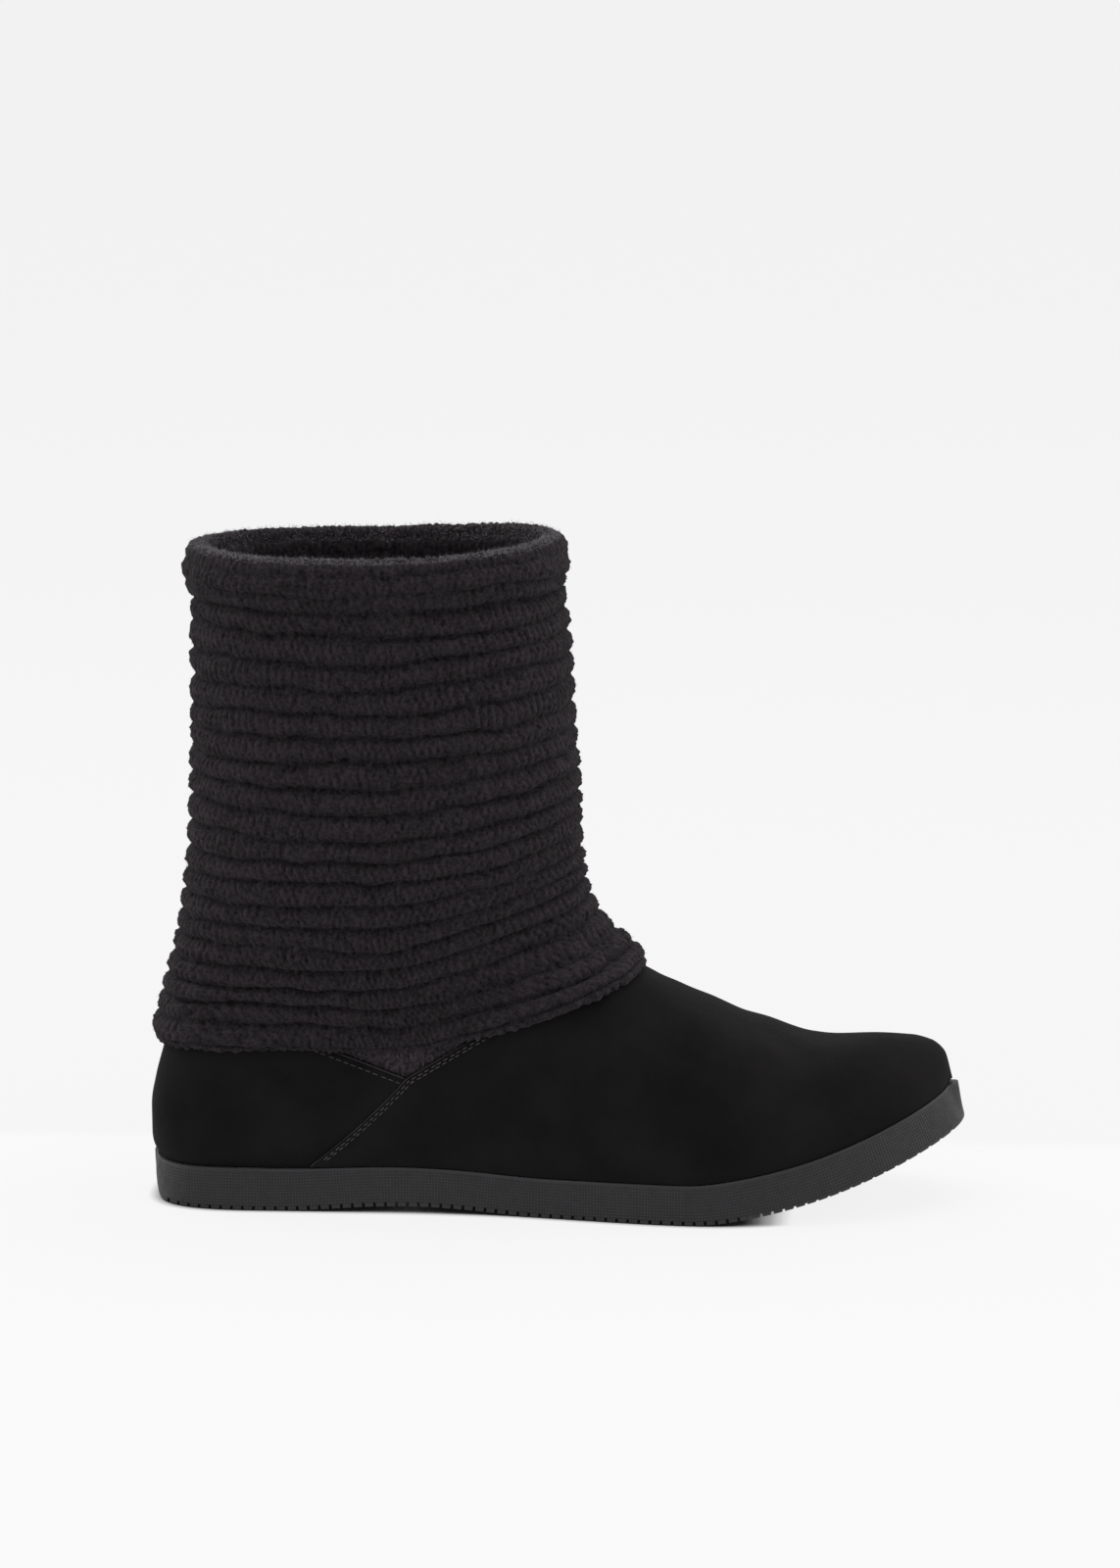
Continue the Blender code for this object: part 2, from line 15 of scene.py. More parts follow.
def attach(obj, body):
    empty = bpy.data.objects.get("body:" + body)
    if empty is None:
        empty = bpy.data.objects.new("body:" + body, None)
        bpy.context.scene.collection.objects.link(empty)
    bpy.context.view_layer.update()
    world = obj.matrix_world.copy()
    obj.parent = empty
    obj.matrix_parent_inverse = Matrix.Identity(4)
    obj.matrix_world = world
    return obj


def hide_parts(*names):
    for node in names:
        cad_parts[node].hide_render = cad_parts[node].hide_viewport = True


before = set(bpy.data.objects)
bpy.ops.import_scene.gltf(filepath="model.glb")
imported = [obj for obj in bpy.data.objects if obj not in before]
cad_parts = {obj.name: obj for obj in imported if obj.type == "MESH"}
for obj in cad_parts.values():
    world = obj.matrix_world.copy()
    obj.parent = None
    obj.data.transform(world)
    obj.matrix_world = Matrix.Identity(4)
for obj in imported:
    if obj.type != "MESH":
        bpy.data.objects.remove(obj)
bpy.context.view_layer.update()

MM = 0.001
CLEARANCE = 0.3 * MM
rng = np.random.default_rng(7)

# The part's sizes, as in the solid model
SOLE_LENGTH = 267.4 * MM
HEEL_BEHIND_ORIGIN = 0.1279 * SOLE_LENGTH
HEEL_WIDTH = 65.0 * MM
WAIST_WIDTH = 62.0 * MM
BALL_WIDTH = 93.0 * MM
TOE_WIDTH = 86.0 * MM
HEEL_ROUND = 36.0 * MM
TOE_ROUND = 68.0 * MM
INSTEP_SWING = 5.0 * MM
TOE_SWING = 4.0 * MM
HEEL_FULLNESS = 2.9
TOE_FULLNESS = 2.15
SOLE_AT_HEEL = 14.2 * MM
SOLE_AT_WAIST = 12.9 * MM
SOLE_AT_BALL = 13.3 * MM
SOLE_AT_TOE = 12.4 * MM
ARCH_LIFT = 2.3 * MM
TOE_SPRING = 27.0 * MM
SPRING_SWEEP = 1.6
HEEL_LIFT = 1.0 * MM
HEEL_FLAT = (0.055, 0.15)
BALL_FLAT = (0.50, 0.665)
HEEL_UNDERCUT = 2.4 * MM
GROOVE_PITCH = 3.6 * MM
GROOVE_WIDTH = 1.1 * MM
GROOVE_DEPTH = 1.2 * MM
GROOVES_SPAN = (0.02, 0.985)
INSOLE_THICKNESS = 3.5 * MM
INSOLE_CLEARANCE = 1.2 * MM
SUEDE = 1.6 * MM
VAMP_STEP = 0.8 * MM
SOLE_LEDGE = 0.5 * MM
TOE_BOX_HEIGHT = 53.4 * MM
INSTEP_HEIGHT = 82.0 * MM
ANKLE_HEIGHT = 108.0 * MM
SEAM_FOOT_SHARE = 0.2008
SEAM_FOOT_HEIGHT = 14.0 * MM
SEAM_TOP_SHARE = 0.3224
SEAM_TOP_HEIGHT = 44.4 * MM
QUARTER_END = 0.01
SEAM_BOW = 1.2 * MM
QUARTER_RISE = 0.37
THROAT_RISE = 0.62
KNIT = 2.4 * MM
RIDGE = 1.2 * MM
RIDGES = 19
ROLL = 14.0 * MM
ROLL_BULGE = 2.2 * MM
SHAFT_LENGTH = 0.4562 * SOLE_LENGTH
SHAFT_WIDTH = 104.0 * MM
SHAFT_BACK = HEEL_BEHIND_ORIGIN - 0.0531 * SOLE_LENGTH
RIM_HEIGHT = 214.8 * MM
RIM_RISE = 2.6 * MM
HEM_HEIGHT = 52.8 * MM
HEM_RISE = 26.0 * MM
HEM_SWEEP = 1.35
LAYER_GAP = 1.0 * MM
KNIT_CLEARANCE = 1.0 * MM
LYING_SOFTNESS = 1.0 * MM
SETTLING_STEPS = 5
MOST_LEAN = 2.4
SEWN_LAP = 8.0 * MM
LAYERS_PART = 22.0 * MM
CLEAR_ABOVE_COLLAR = 14.0 * MM
COLLAR_MARGIN = 4.0 * MM
KNIT_FULLNESS = 2.2

HEEL_SECTIONS = (
    # base   along   rise    squareness
    (0.000, 0.000, 0.000, 2.0),
    (0.008, -0.003, 0.065, 2.0),
    (0.020, -0.003, 0.160, 2.1),
    (0.040, 0.002, 0.255, 2.2),
    (0.065, 0.011, 0.355, 2.3),
    (0.090, 0.021, 0.455, 2.5),
    (0.115, 0.032, 0.570, 2.7),
    (0.140, 0.044, 0.700, 2.9),
    (0.175, 0.060, 0.850, 3.1),
    (0.220, 0.100, 0.955, 3.3),
    (0.300, 0.210, 1.000, 3.4),
    (0.400, 0.320, 1.000, 3.3),
    (0.480, 0.405, 0.965, 3.0),
)
INSTEP_SECTIONS = (
    # base   along   rise    squareness
    (0.540, 0.465, 1.540, 2.75),
    (0.580, 0.510, 1.230, 2.55),
    (0.620, 0.560, 1.000, 2.45),
    (0.670, 0.612, 0.755, 2.35),
    (0.745, 0.681, 0.445, 2.3),
    (0.820, 0.753, 0.185, 2.3),
    (0.875, 0.809, 0.005, 2.3),
    (0.905, 0.838, -0.020, 2.3),
)
TOE_SECTIONS = (
    # base   along   rise    squareness
    (0.945, 0.894, 1.000, 2.3),
    (0.970, 0.932, 0.985, 2.2),
    (0.985, 0.956, 0.890, 2.1),
    (0.994, 0.973, 0.640, 2.0),
    (1.000, 0.983, 0.000, 2.0),
)
CUFF_LEVELS = (
    # level  back   front  behind  ahead   width
    (0.00, 0.000, 0.000, 0.000, -0.016, 1.00),
    (0.10, 0.109, 0.118, -0.002, 0.006, 1.00),
    (0.30, 0.328, 0.352, 0.003, 0.029, 1.00),
    (0.50, 0.540, 0.580, 0.012, 0.040, 0.98),
    (0.60, 0.637, 0.678, 0.027, 0.045, 0.95),
    (0.71, 0.742, 0.774, 0.045, 0.056, 0.90),
    (0.80, 0.825, 0.852, 0.063, 0.086, 0.84),
    (0.87, 0.888, 0.911, 0.082, 0.131, 0.79),
    (0.94, 0.945, 0.957, 0.093, 0.190, 0.75),
    (1.00, 1.000, 1.000, 0.101, 0.215, 0.72),
)

# The knit's detail
STITCHES = 136
STITCH_SAMPLES = 6
RIDGE_SAMPLES = 12
RIDGE_SWELL = 1.55 * MM
STITCH_SWELL = 1.0 * MM
FIBRES = 50000
RIM_FIBRES = 12000
# How far the painted contact shadow on the floor reaches.
CONTACT_REACH = 6.0 * MM
KNURL = 2.0 * MM


def smooth_curve(places, values):
    x, y = np.asarray(places, float), np.asarray(values, float)
    step = np.diff(x)
    slope = np.diff(y) / step
    tangent = np.zeros(len(x))
    tangent[0], tangent[-1] = slope[0], slope[-1]
    for i in range(1, len(x) - 1):
        if slope[i - 1] * slope[i] > 0:
            tangent[i] = 2 / (1 / slope[i - 1] + 1 / slope[i])

    def at(place):
        p = min(max(place, x[0]), x[-1])
        i = min(max(int(np.searchsorted(x, p, side="right")) - 1, 0), len(step) - 1)
        u = (p - x[i]) / step[i]
        start = y[i] * (1 + 2 * u) * (1 - u) ** 2 + tangent[i] * step[i] * u * (1 - u) ** 2
        end = y[i + 1] * u * u * (3 - 2 * u) + tangent[i + 1] * step[i] * u * u * (u - 1)
        return start + end

    return at


def ease(value):
    u = min(max(value, 0.0), 1.0)
    return u * u * (3 - 2 * u)


def along(share):
    return share * SOLE_LENGTH - HEEL_BEHIND_ORIGIN


half_width_at = smooth_curve(
    (0.0, 0.18, 0.40, 0.72, 0.82, 1.0),
    (HEEL_WIDTH / 2, HEEL_WIDTH / 2, WAIST_WIDTH / 2, BALL_WIDTH / 2, BALL_WIDTH / 2, TOE_WIDTH / 2),
)
swing_at = smooth_curve((0.0, 0.15, 0.50, 0.82, 1.0), (0.0, 0.0, -INSTEP_SWING, 0.0, TOE_SWING))
thickness_at = smooth_curve(
    (0.0, 0.12, 0.35, 0.70, 0.88, 1.0),
    (SOLE_AT_HEEL, SOLE_AT_HEEL, SOLE_AT_WAIST, SOLE_AT_BALL, (SOLE_AT_BALL + SOLE_AT_TOE) / 2, SOLE_AT_TOE),
)


def end_rounding(share):
    from_heel = share * SOLE_LENGTH / HEEL_ROUND
    from_toe = (1 - share) * SOLE_LENGTH / TOE_ROUND
    left = 1.0
    for distance, fullness in ((from_heel, HEEL_FULLNESS), (from_toe, TOE_FULLNESS)):
        if distance < 1:
            left *= max(0.0, 1 - (1 - distance) ** fullness) ** (1 / fullness)
    return left


def outline(turn, inset=0.0):
    def plain(angle):
        share = (1 - math.cos(angle)) / 2
        side = -1 if math.sin(angle) > 0 else 1
        return np.array([along(share), swing_at(share) + side * half_width_at(share) * end_rounding(share)])

    nudge = 0.004
    tangent = plain(turn + nudge) - plain(turn - nudge)
    inwards = np.array([-tangent[1], tangent[0]]) / np.linalg.norm(tangent)
    return plain(turn) + inwards * inset


def share_of(x):
    return min(max((x + HEEL_BEHIND_ORIGIN) / SOLE_LENGTH, 0.0), 1.0)


def tread_height(x):
    share = share_of(x)
    if share < HEEL_FLAT[0]:
        return HEEL_LIFT * (1 - share / HEEL_FLAT[0]) ** 2
    if HEEL_FLAT[1] < share < BALL_FLAT[0]:
        return ARCH_LIFT * math.sin(math.pi * (share - HEEL_FLAT[1]) / (BALL_FLAT[0] - HEEL_FLAT[1])) ** 2
    if share > BALL_FLAT[1]:
        return TOE_SPRING * ((share - BALL_FLAT[1]) / (1 - BALL_FLAT[1])) ** SPRING_SWEEP
    return 0.0


def on_sole(x, y, up):
    nudge = 0.5 * MM
    slope = (tread_height(x + nudge) - tread_height(x - nudge)) / (2 * nudge)
    lean = math.atan(slope)
    return Vector((x - up * math.sin(lean), y, tread_height(x) + up * math.cos(lean)))


def top_line():
    rows = []
    heel_foot = thickness_at(0.0) + CLEARANCE + tread_height(along(0.0))
    toe_foot = on_sole(along(1.0), 0, thickness_at(1.0) + CLEARANCE)
    for base, forward, rise, square in HEEL_SECTIONS:
        rows.append((base, along(forward), heel_foot + rise * (ANKLE_HEIGHT - heel_foot), square))
    for base, forward, rise, square in INSTEP_SECTIONS:
        rows.append((base, along(forward), TOE_BOX_HEIGHT + rise * (INSTEP_HEIGHT - TOE_BOX_HEIGHT), square))
    for base, forward, rise, square in TOE_SECTIONS:
        rows.append((base, along(forward), toe_foot.z + rise * (TOE_BOX_HEIGHT - toe_foot.z), square))
    base, x, z, square = zip(*rows)
    return smooth_curve(base, x), smooth_curve(base, z), smooth_curve(base, square)


top_x, top_z, squareness = top_line()


def last_point(turn, rise, inset):
    """A point of the foot's skin. turn goes round the sole's outline, and rise from 0 at the sole to 1 at the top."""
    share = (1 - math.cos(turn)) / 2
    near, far = (outline(side * turn, SOLE_LEDGE + inset) for side in (1, -1))
    height = thickness_at(share_of(near[0])) + CLEARANCE
    foot_near, foot_far = on_sole(*near, height), on_sole(*far, height)
    middle = (foot_near + foot_far) / 2
    nudge = 0.003
    before, after = max(share - nudge, 0), min(share + nudge, 1)
    run, climb = top_x(after) - top_x(before), top_z(after) - top_z(before)
    length = math.hypot(run, climb)
    top = Vector((top_x(share) + inset * climb / length, middle.y, top_z(share) - inset * run / length))
    power = 2 / squareness(share)
    angle = rise * math.pi / 2
    sideways, upwards = math.cos(angle) ** power if rise < 1 else 0.0, math.sin(angle) ** power
    return middle + (foot_near - middle) * sideways + (top - middle) * upwards


def skin_grid(stations, arch, inset):
    """Rows of points over the foot, heel to toe, each an arch from the outer side to the inner side."""
    rows = []
    for station in range(stations + 1):
        turn = min(max(math.pi * station / stations, QUARTER_END), math.pi - QUARTER_END)
        for i in range(arch + 1):
            rise = 1 - abs(1 - 2 * i / arch)
            side = 1 if 2 * i < arch else -1
            rows.append(last_point(side * turn, rise, inset))
    return np.array([tuple(p) for p in rows]).reshape(stations + 1, arch + 1, 3)


def grid_quads(rows, columns, closed=False):
    """Vertex numbers of the quads of a grid of points, as an array."""
    r = np.arange(rows - 1)[:, None]
    c = np.arange(columns if closed else columns - 1)[None, :]
    right = (c + 1) % columns
    corners = (r * columns + c, r * columns + right, (r + 1) * columns + right, (r + 1) * columns + c)
    return np.stack([np.broadcast_to(k, (rows - 1, c.shape[1])) for k in corners], -1).reshape(-1, 4)


def tree_of(grid):
    points = grid.reshape(-1, 3).tolist()
    return BVHTree.FromPolygons(points, grid_quads(*grid.shape[:2]).tolist())


def reach_to_skin(tree, x, z, angle, stand_off):
    way = Vector((math.cos(angle), math.sin(angle), 0))
    hit, normal, _, distance = tree.ray_cast(Vector((x, 0, z)), way)
    if hit is None:
        return 0.0
    return distance + stand_off / max(abs(normal.dot(way)), 0.35)


def collar_height(x):
    ahead_of_seam = x - along(SEAM_TOP_SHARE)
    slope = THROAT_RISE if ahead_of_seam > 0 else -QUARTER_RISE
    return SEAM_TOP_HEIGHT + slope * ahead_of_seam


level_columns = list(zip(*CUFF_LEVELS))
drop_back, drop_front, behind, ahead, width_share = (
    smooth_curve(level_columns[0], column) for column in level_columns[1:]
)


def cuff_reach(tree, level, angle):
    """Centre, reach and height of the cuff's ridge tops, at a level from rim to hem and an angle round the leg."""
    top, fall = RIM_HEIGHT - ROLL, RIM_HEIGHT - ROLL - HEM_HEIGHT
    back_z = top - drop_back(level) * fall
    front_z = top + RIM_RISE - drop_front(level) * (fall + RIM_RISE - HEM_RISE)
    low_x = -SHAFT_BACK - behind(level) * SHAFT_LENGTH
    high_x = -SHAFT_BACK + SHAFT_LENGTH * (1 + ahead(level))
    middle, half_length = (low_x + high_x) / 2, (high_x - low_x) / 2
    half_width = SHAFT_WIDTH * width_share(level) / 2
    c, s = abs(math.cos(angle)), abs(math.sin(angle))
    reach = ((c / half_length) ** KNIT_FULLNESS + (s / half_width) ** KNIT_FULLNESS) ** (-1 / KNIT_FULLNESS)
    loose, out = reach, reach
    for _ in range(SETTLING_STEPS):
        forward = min(max(math.cos(angle) * out / half_length, 0.0), 1.0)
        z = back_z + (front_z - back_z) * forward**HEM_SWEEP
        lying = reach_to_skin(tree, middle, z, angle, KNIT_CLEARANCE + KNIT + RIDGE)
        soft_loose, soft_lying = math.exp(loose / LYING_SOFTNESS), math.exp(lying / LYING_SOFTNESS)
        over_suede = LYING_SOFTNESS * math.log(soft_loose + soft_lying)
        above = z - collar_height(middle + loose * math.cos(angle)) - COLLAR_MARGIN
        settled = loose + (over_suede - loose) * (1 - ease(above / CLEAR_ABOVE_COLLAR))
        out = (out + settled) / 2
    return middle, settled, z


def cuff_point(tree, level, angle, depth):
    nudge = 0.02
    _, reach_up, z_up = cuff_reach(tree, max(level - nudge, 0.0), angle)
    _, reach_down, z_down = cuff_reach(tree, min(level + nudge, 1.0), angle)
    lean = min(math.hypot(reach_down - reach_up, z_up - z_down) / (z_up - z_down), MOST_LEAN)
    middle, reach, z = cuff_reach(tree, level, angle)
    reach -= depth * lean
    return Vector((middle + reach * math.cos(angle), reach * math.sin(angle), z))


def collar_point(tree, angle, above):
    middle = along(SEAM_TOP_SHARE)
    near, far = 0.0, SOLE_LENGTH
    for _ in range(24):
        out = (near + far) / 2
        x = middle + out * math.cos(angle)
        z = collar_height(x) + above
        if reach_to_skin(tree, middle, z, angle, -VAMP_STEP - SUEDE - KNIT_CLEARANCE) > out:
            near = out
        else:
            far = out
    return Vector((x, out * math.sin(angle), z))


def lining_point(tree, down, angle, depth, heights, levels):
    outwards = Vector((math.cos(angle), math.sin(angle), 0))
    collar = collar_point(tree, angle, 0.0)
    if down > 1:
        point = collar_point(tree, angle, -SEWN_LAP * (down - 1))
    else:
        z = heights[0] + (collar.z - heights[0]) * down
        level = float(np.interp(-z, [-h for h in heights], levels))
        beside = cuff_point(tree, level, angle, RIDGE + KNIT + LAYER_GAP)
        beside.z = z
        point = beside.lerp(collar, ease(1 - (z - collar.z - COLLAR_MARGIN) / LAYERS_PART))
        point += outwards * min(0.0, (beside - point).dot(outwards))
        point.z = z
    return point - outwards * depth


def spline_rows(grid, rows):
    """Rows of the grid read between its own rows, along a smooth curve."""
    count = grid.shape[0]
    base = np.clip(np.floor(rows).astype(int), 0, count - 2)
    t = (rows - base).reshape(-1, *([1] * (grid.ndim - 1)))
    before, start, end, after = (grid[np.clip(base + k, 0, count - 1)] for k in (-1, 0, 1, 2))
    bend = 2 * before - 5 * start + 4 * end - after
    return 0.5 * (2 * start + (end - before) * t + bend * t**2 + (3 * start - before - 3 * end + after) * t**3)


def spline_round(grid, columns):
    """Columns of the grid read between its own columns, which run round and close."""
    count = grid.shape[1]
    base = np.floor(columns).astype(int)
    t = (columns - base).reshape(1, -1, *([1] * (grid.ndim - 2)))
    before, start, end, after = (grid[:, (base + k) % count] for k in (-1, 0, 1, 2))
    bend = 2 * before - 5 * start + 4 * end - after
    return 0.5 * (2 * start + (end - before) * t + bend * t**2 + (3 * start - before - 3 * end + after) * t**3)


def wander(rows, columns, tall, round_):
    """Soft random waves on a closed grid: this many up its height and round it."""
    seeds = rng.standard_normal((tall + 3, round_))
    waves = spline_rows(seeds, np.linspace(1, tall + 1, rows))
    return spline_round(waves, np.linspace(0, round_, columns, endpoint=False))


def add_mesh(name, points, faces, looks, uv=None, look_of_face=None):
    mesh = bpy.data.meshes.new(name)
    points, faces = np.asarray(points, float), np.asarray(faces)
    mesh.from_pydata(points.reshape(-1, 3).tolist(), [], faces.tolist())
    if uv is not None:
        layer = mesh.uv_layers.new(name="cloth")
        corners = np.empty(len(mesh.loops), int)
        mesh.loops.foreach_get("vertex_index", corners)
        layer.data.foreach_set("uv", uv.reshape(-1, 2)[corners].ravel())
    for look in looks:
        mesh.materials.append(look)
    if look_of_face is not None:
        mesh.polygons.foreach_set("material_index", look_of_face)
    mesh.shade_smooth()
    made = bpy.data.objects.new(name, mesh)
    bpy.context.scene.collection.objects.link(made)
    return made


class Shader:
    """A material's nodes, joined up by short calls."""

    def __init__(self, name, colour, roughness, specular=0.5):
        self.material = bpy.data.materials.new(name)
        self.material.use_nodes = True
        self.nodes, self.links = self.material.node_tree.nodes, self.material.node_tree.links
        self.principled = self.nodes["Principled BSDF"]
        self.set("Base Color", (*colour, 1.0))
        self.set("Roughness", roughness)
        self.set("Specular IOR Level", specular)
        self.place = self.nodes.new("ShaderNodeTexCoord")

    def set(self, socket, value):
        self.principled.inputs[socket].default_value = value

    def join(self, output, socket):
        self.links.new(output, self.principled.inputs[socket])

    def node(self, kind, **inputs):
        made = self.nodes.new("ShaderNode" + kind)
        for key, value in inputs.items():
            socket = made.inputs[key.replace("_", " ")]
            if hasattr(value, "is_output"):
                self.links.new(value, socket)
            else:
                socket.default_value = value
        return made

    def noise(self, scale, detail=3.0, where="Object", roughness=0.55, stretch=None):
        source = self.place.outputs[where]
        if stretch:
            mapped = self.node("Mapping", Vector=source, Scale=stretch)
            source = mapped.outputs["Vector"]
        made = self.node("TexNoise", Vector=source, Scale=scale, Detail=detail, Roughness=roughness)
        return made.outputs["Fac"]

    def math(self, operation, first, second=0.0):
        made = self.nodes.new("ShaderNodeMath")
        made.operation = operation
        for i, value in enumerate((first, second)):
            if hasattr(value, "is_output"):
                self.links.new(value, made.inputs[i])
            else:
                made.inputs[i].default_value = value
        return made.outputs[0]

    def ramp(self, value, low, high, from_=0.3, to=0.7):
        made = self.nodes.new("ShaderNodeMapRange")
        made.inputs["From Min"].default_value = from_
        made.inputs["From Max"].default_value = to
        made.inputs["To Min"].default_value = low
        made.inputs["To Max"].default_value = high
        self.links.new(value, made.inputs["Value"])
        return made.outputs["Result"]

    def tint(self, factor, dark, light):
        made = self.nodes.new("ShaderNodeMix")
        made.data_type = "RGBA"
        for socket, colour in ((made.inputs[6], dark), (made.inputs[7], light)):
            if hasattr(colour, "is_output"):
                self.links.new(colour, socket)
            else:
                socket.default_value = (*colour, 1.0)
        self.links.new(factor, made.inputs[0])
        return made.outputs[2]

    def bump(self, height, distance, under=None, strength=1.0):
        made = self.node("Bump", Height=height, Distance=distance, Strength=strength)
        if under is not None:
            self.links.new(under, made.inputs["Normal"])
        self.join(made.outputs["Normal"], "Normal")
        return made.outputs["Normal"]


def suede_look(name, colour):
    look = Shader(name, colour, 0.97, 0.04)
    cloudy = look.ramp(look.noise(38.0, 4.0), 0.0, 1.0, 0.32, 0.68)
    dark, light = (tuple(c * k for c in colour) for k in (0.78, 1.3))
    look.join(look.tint(cloudy, dark, light), "Base Color")
    look.set("Sheen Weight", 0.02)
    look.set("Sheen Roughness", 0.55)
    look.set("Sheen Tint", (0.62, 0.60, 0.68, 1.0))
    brushed = look.noise(900.0, 2.0, stretch=(0.55, 1.0, 1.0))
    nap = look.noise(3200.0, 2.0)
    first = look.bump(look.noise(160.0, 4.0), 0.35 * MM, strength=0.5)
    second = look.bump(brushed, 0.16 * MM, first, 0.7)
    look.bump(nap, 0.07 * MM, second, 0.8)
    return look.material


def knit_look(name, colour, sheen):
    """Yarn with painted shade: darker down between its stitches and in its grooves, by the height stored on each point
    of the cloth.
    """
    look = Shader(name, colour, 0.95, 0.06)
    # Reads the painted shade stored on the cloth, which also holds a little random grain of tone.
    height = look.nodes.new("ShaderNodeAttribute")
    height.attribute_name = "painted_shade_and_grain"
    patchy = look.noise(1.0, 4.0, "UV", stretch=(1.7, 2.3, 1.0))
    dark, light = (tuple(c * k for c in colour) for k in (0.3, 2.2))
    yarn = look.ramp(look.noise(900.0, 3.0), -0.4, 0.4, 0.3, 0.7)
    patches = look.math("ADD", look.ramp(patchy, -0.2, 0.2, 0.3, 0.7), yarn)
    look.join(look.tint(look.math("ADD", patches, height.outputs["Fac"]), dark, light), "Base Color")
    look.set("Sheen Weight", sheen)
    look.set("Sheen Roughness", 0.5)
    look.set("Sheen Tint", (0.78, 0.72, 0.76, 1.0))
    strands = look.noise(1.0, 3.0, "UV", stretch=(1.2, 9.0, 1.0))
    fuzz = look.noise(2100.0, 3.0)
    first = look.bump(strands, 0.5 * MM, strength=0.6)
    look.bump(fuzz, 0.25 * MM, first, 0.9)
    return look.material


def rubber_look(name, colour, knurled):
    look = Shader(name, colour, 0.6, 0.25)
    worn = look.ramp(look.noise(60.0, 4.0), 0.0, 1.0, 0.3, 0.7)
    dark, light = (tuple(c * k for c in colour) for k in (0.85, 1.15))
    look.join(look.tint(worn, dark, light), "Base Color")
    look.join(look.ramp(look.noise(240.0, 3.0), 0.48, 0.66), "Roughness")
    grain = look.bump(look.noise(1900.0, 2.0), 0.05 * MM, strength=0.6)
    if knurled:
        parted = look.node("SeparateXYZ", Vector=look.place.outputs["UV"])
        across, up = parted.outputs["X"], parted.outputs["Y"]
        waves = [
            look.math("SINE", look.math("MULTIPLY", look.math(way, across, up), 2 * math.pi))
            for way in ("ADD", "SUBTRACT")
        ]
        knurl = look.math("MULTIPLY", *waves)
        look.bump(knurl, 0.3 * MM, grain, 0.9)
        tops = look.ramp(knurl, 0.0, 1.0, -0.8, 0.9)
        shade = look.math("MULTIPLY", tops, look.ramp(look.noise(420.0, 3.0), 0.6, 1.0))
        look.join(look.tint(shade, tuple(c * 0.7 for c in colour), tuple(c * 1.5 for c in colour)), "Base Color")
    return look.material


def plain_cloth_look(name, colour):
    look = Shader(name, colour, 0.95, 0.2)
    cloudy = look.ramp(look.noise(120.0, 4.0), 0.0, 1.0, 0.3, 0.7)
    dark, light = (tuple(c * k for c in colour) for k in (0.75, 1.3))
    look.join(look.tint(cloudy, dark, light), "Base Color")
    look.set("Sheen Weight", 0.05)
    look.bump(look.noise(1500.0, 3.0), 0.2 * MM)
    return look.material


SUEDE_BLACK = (0.0074, 0.0068, 0.0071)
# The suede's cut edge: its own lighter raw tone, with a painted highlight where the edge catches the light.
SUEDE_EDGE = (0.040, 0.036, 0.037)
THREAD_GREY = (0.060, 0.056, 0.058)
KNIT_BLACK = (0.0128, 0.0108, 0.0124)
FIBRE_GREY = (0.019, 0.0165, 0.0185)
# Painted highlight: the rim's fibres are coloured far lighter than the knit, for the bright line where light from
# behind catches the fuzz on the rim.
RIM_FIBRE_HIGHLIGHT_GREY = (0.17, 0.16, 0.17)
RUBBER_GREY = (0.0235, 0.0225, 0.0245)
INSOLE_BLACK = (0.012, 0.011, 0.012)

suede = suede_look("suede", SUEDE_BLACK)
suede_edge = plain_cloth_look("suede_edge", SUEDE_EDGE)
thread = plain_cloth_look("thread", THREAD_GREY)
knit = knit_look("knit", KNIT_BLACK, 0.05)
# A copy of the knit painted twice as light: painted light that lifts the shade on the lap under the cuff.
knit_with_painted_light = knit_look("knit_with_painted_light", tuple(c * 2.0 for c in KNIT_BLACK), 0.05)
fibre = plain_cloth_look("knit_fibre", FIBRE_GREY)
rim_fibre_painted_highlight = plain_cloth_look("rim_fibre_painted_highlight", RIM_FIBRE_HIGHLIGHT_GREY)
rubber = rubber_look("rubber", RUBBER_GREY, False)
knurled_rubber = rubber_look("knurled_rubber", RUBBER_GREY, True)
insole_cloth = plain_cloth_look("insole_cloth", INSOLE_BLACK)


def wear(piece, node):
    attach(piece, "root")
    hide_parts(node)
    return piece


# Creases of the suede. Each row is a soft trough, or a ridge where the depth is below zero: where it crosses the
# top of the foot (share of the sole), how far back it leans towards the sole, how wide and deep it is, the part of
# the height where it is strongest, and how far up and down from there it fades out.
CREASES = (
    # share  lean   width  depth  height  fade
    (0.800, 0.050, 0.020, 0.55, 0.92, 0.55),
    (0.755, 0.055, 0.016, -0.25, 0.85, 0.40),
    (0.690, 0.045, 0.013, 0.30, 0.80, 0.35),
    (0.640, 0.030, 0.012, -0.22, 0.75, 0.35),
    (0.600, 0.040, 0.012, 0.28, 0.70, 0.35),
    (0.470, -0.020, 0.018, 0.35, 0.45, 0.30),
    (0.400, -0.030, 0.014, -0.25, 0.40, 0.28),
    (0.130, -0.020, 0.016, 0.35, 0.45, 0.30),
)


